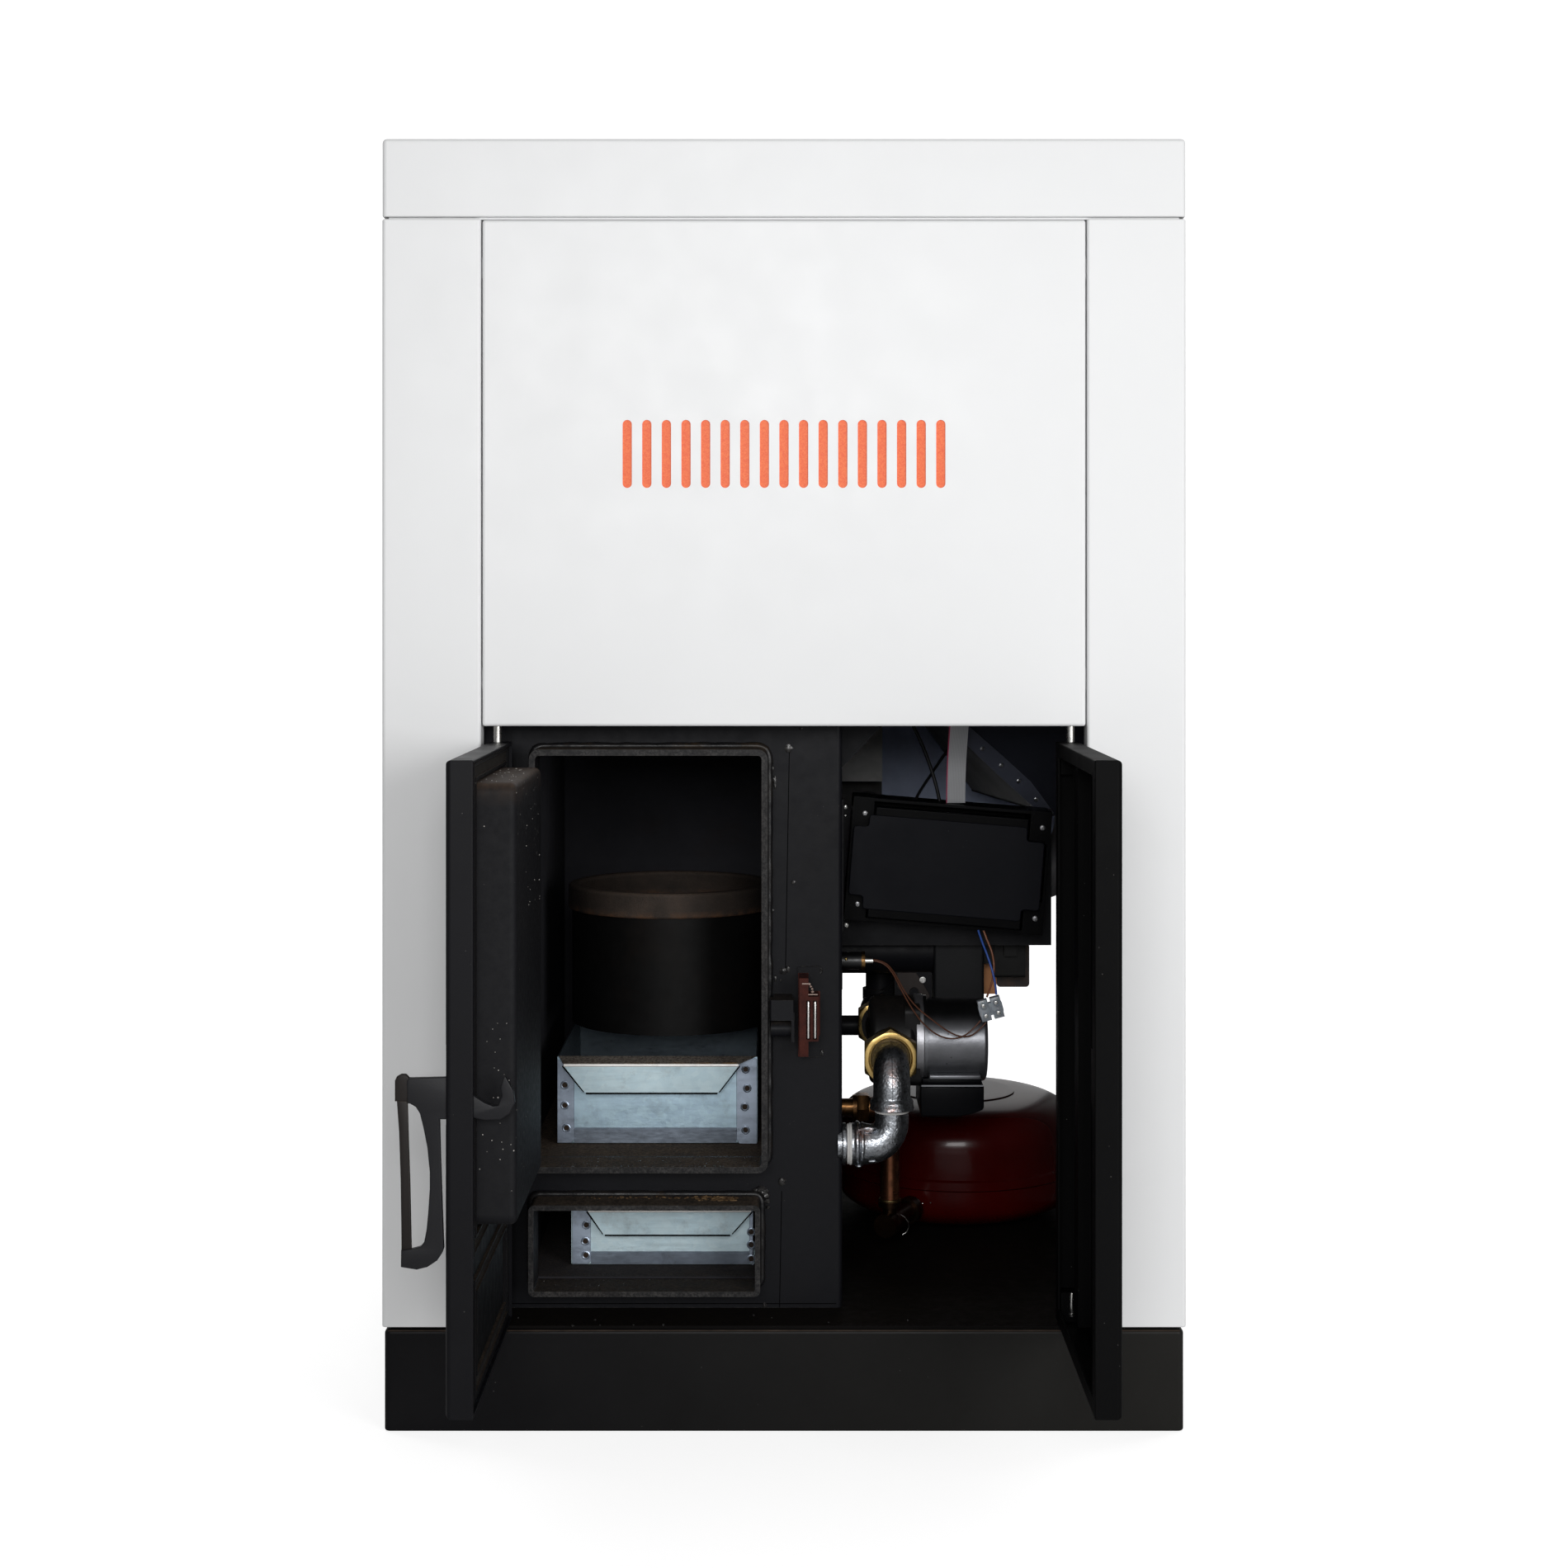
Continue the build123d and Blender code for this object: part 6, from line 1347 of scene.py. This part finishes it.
# dark sweep elbow behind the rear union, neck cover with its bolt, brass button on the sensor
g = Group()
pts, dist = bend([(108, 318, 342), (108, 345, 350), (132, 352, 372)], 12)
g.tube(pts, lambda i, share, t: 21.0 + 3.2 * math.sin(math.pi * share), 40)
g.make("rear_sweep_elbow", ELBOW_BLACK)
g = Group()
cover = [(1087, 1178.5), (1110, 1178.5), (1117.5, 1190), (1126.5, 1205.5), (1125.5, 1210), (1106, 1209.5), (1094, 1203), (1087, 1196)]
g.prism([(px_x(a, 266.4), px_z(b, 266.4)) for a, b in cover], P(0, 268.2, 0), (1, 0, 0), (0, 0, 1), 1.8, 0.4, 1)
g.make("neck_cover", NECK)
g = Group()
g.hexagon(Q(1118, 1187.5, 266.4), (0, -1, 0), 5.0, 3.4, 0.4)
g.lathe([(3.4, 0), (3.4, 0.7), (2, 0.8)], Q(1118, 1187.5, 266.6), (0, -1, 0), 24)
g.make("neck_bolt", STEEL)
g = Group()
blob(g, P(64.0, 146.2, 436.6), (1.8, 1.6, 1.8), 1.0, 0.05, 3)
g.make("sensor_button", BRASS)
g = Group()
g.lathe([(1.9, 0), (1.9, 20), (1.5, 21), (0, 21)], P(279.2, 1.4, 113.5), (0, 0, 1), 20)
g.lathe([(3.6, 0), (3.6, 2.2), (2.6, 3.0)], P(279.2, 1.4, 112.0), (0, 0, 1), 20)
g.make("hinge_lock_screw", STEEL, "right_door")

g = Group()
g.hexagon(P(91.0, 250, 262), (-1, 0, 0), 27.5, 13.0, 0.8)
g.make("riser_hex_nut", RISER)
# painted highlights: a thin bright steel arc and two bright glints on the riser's foot fitting
g = Group()
arc = [Q(1091, 1471.5, 236.2), Q(1096.5, 1475, 236.2), Q(1100.5, 1481, 236.2), Q(1101.3, 1487, 236.2), Q(1098.5, 1493, 236.2), Q(1093.5, 1496.2, 236.2)]
highlight_arc_points = []
for i in range(len(arc) - 1):
    highlight_arc_points += [arc[i] + (arc[i + 1] - arc[i]) * (k / 5) for k in range(5)]
g.tube(highlight_arc_points + [arc[-1]], 0.42, 8)
blob(g, Q(1118, 1458.2, 244), (1.1, 1.0, 1.0), 3.0, 0.1, 2)
blob(g, Q(1127.5, 1457.2, 246), (1.2, 1.0, 0.8), 4.0, 0.1, 2)
g.make("riser_foot_painted_highlights", STEEL)
g = Group()
g.lathe([(11.0, -1.6), (12.2, -1.2), (12.5, 0), (12.2, 1.2), (11.0, 1.6)], P(114, 250, 162.4), (0, 0, 1), 36)
g.make("riser_solder_ring", BRASS_DARK)

# ------------------------------------------------------------------ grit on the door's insulating block
g = Group()
rnd2 = random.Random(5)
side = -279.0 + 47.0
for i in range(18):
    px, py = rnd2.uniform(637, 654), rnd2.uniform(955, 1105)
    depth = side * 2830 / (px - 950) - 2264
    if -232 < depth < -40:
        r = rnd2.uniform(0.3, 0.75)
        blob(g, P(side + 0.2, depth, px_z(py, depth)), (r * 0.5, r, r), i * 1.1, 0.4, 1)
for i, (px, py) in enumerate((
    (597, 1247), (606, 1259), (614, 1240), (599, 1294), (604, 1297), (611, 1302), (617, 1309), (598, 1330), (606, 1361), (596, 1382),
    (608, 1384), (619, 1387), (620, 1443), (603, 1240), (600, 1275), (616, 1330), (590, 1262), (612, 1350), (606, 1405), (585, 1375),
)):
    r = rnd2.uniform(0.28, 0.6)
    blob(g, Q(px, py, -240.2), (r, r * 0.5, r), i * 1.7, 0.4, 1)
for i in range(24):
    u, v = rnd2.uniform(60, 245), rnd2.uniform(12, 40)
    r = rnd2.uniform(0.4, 0.9)
    blob(g, P(-279 + v, 11 - u, 646.6), (r, r, r * 0.5), i * 2.3, 0.4, 1)
g.make("block_grit", DUST, "left_door")

# ------------------------------------------------------------------ hopper: riveted seam strip along its front corner
edge_dir = Vector((228, 150, -229)).normalized()
n = Vector((-0.25, -1.0, 0.25))
n = (n - edge_dir * n.dot(edge_dir)).normalized()
seam_o = Vector((198.8, 187.0, 668.6))
strip = [(1150, 858), (1175, 881), (1215, 916), (1249, 947), (1277, 985), (1262, 986), (1250, 976), (1218, 947), (1188, 919), (1140, 872)]
face = [on_plane(px, py, seam_o, n) for px, py in strip]
g = Group()
k = len(face)
front_pts = [P(*q) + n * 0.0006 for q in face]
back_pts = [P(*q) - n * 0.0014 for q in face]
g.add(front_pts + back_pts, [tuple(range(k)), tuple(range(2 * k - 1, k - 1, -1))] + [(i, (i + 1) % k, (i + 1) % k + k, i + k) for i in range(k)])
g.make("hopper_seam_strip", SEAM_STRIP, smooth=False)
g = Group()
for px, py in ((1190, 907), (1213, 927), (1234, 946), (1255, 968), (1168, 888)):
    g.lathe([(2.7, 0), (2.6, 0.8), (1.8, 1.5), (0, 1.8)], P(*on_plane(px, py, seam_o, n)) + n * 0.0006, n, 18)
g.make("hopper_seam_rivets", SEAM_RIVET)

# ------------------------------------------------------------------ stage and light
def stage_mesh(name, verts, faces, material):
    me = bpy.data.meshes.new(name)
    me.from_pydata(verts, [], faces)
    me.materials.append(material)
    for p in me.polygons:
        p.use_smooth = True
    ob = bpy.data.objects.new(name, me)
    scene.collection.objects.link(ob)
    return ob


floor_mat = Mat("studio_floor")
floor_mat.set(color=floor_mat.mix(floor_mat.noise(2.0, 2), (0.60, 0.60, 0.60), (0.63, 0.63, 0.63)), rough=0.8, spec=0.1, emit=(1, 1, 1))
seen = floor_mat.node("ShaderNodeLightPath").outputs["Is Camera Ray"]
floor_mat.set(emit_s=floor_mat.math("MULTIPLY", seen, 0.72))
profile = [(-9.0, 0.0), (2.4, 0.0)]
for k in range(1, 13):
    a = math.pi / 2 * k / 12
    profile.append((2.4 + 1.2 * math.sin(a), 1.2 - 1.2 * math.cos(a)))
profile.append((3.6, 6.5))
verts, faces = [], []
for y, z in profile:
    verts += [(-7.5, y, z - 0.0005), (7.5, y, z - 0.0005)]
for i in range(len(profile) - 1):
    faces.append((2 * i, 2 * i + 1, 2 * i + 3, 2 * i + 2))
stage_mesh("studio_sweep", verts, faces, floor_mat.m)

world = bpy.data.worlds.new("studio")
scene.world = world
world.use_nodes = True
bg = world.node_tree.nodes["Background"]
bg.inputs["Color"].default_value = (1, 1, 1, 1)
bg.inputs["Strength"].default_value = 0.27


def area(name, loc, target, size, size_y, power, color=(1, 1, 1)):
    li = bpy.data.lights.new(name, "AREA")
    li.shape = "RECTANGLE"
    li.size, li.size_y = size, size_y
    li.energy = power
    li.color = color
    ob = bpy.data.objects.new(name, li)
    ob.location = loc
    ob.rotation_euler = (Vector(target) - Vector(loc)).to_track_quat("-Z", "Y").to_euler()
    scene.collection.objects.link(ob)
    return ob


area("key", (1.95, -3.2, 0.98), (0.0, -0.3, 0.5), 1.4, 1.4, 47)
area("front", (-0.15, -3.9, 1.40), (0, -0.3, 0.55), 1.3, 0.9, 46)
area("backdrop_left", (-2.6, 1.2, 2.6), (-1.2, 3.6, 1.2), 2.0, 2.0, 45)
area("backdrop_right", (2.6, 1.2, 2.6), (1.2, 3.6, 1.2), 2.0, 2.0, 45)
scene.view_settings.view_transform = "Standard"
scene.view_settings.look = "None"
scene.view_settings.exposure = 0.0
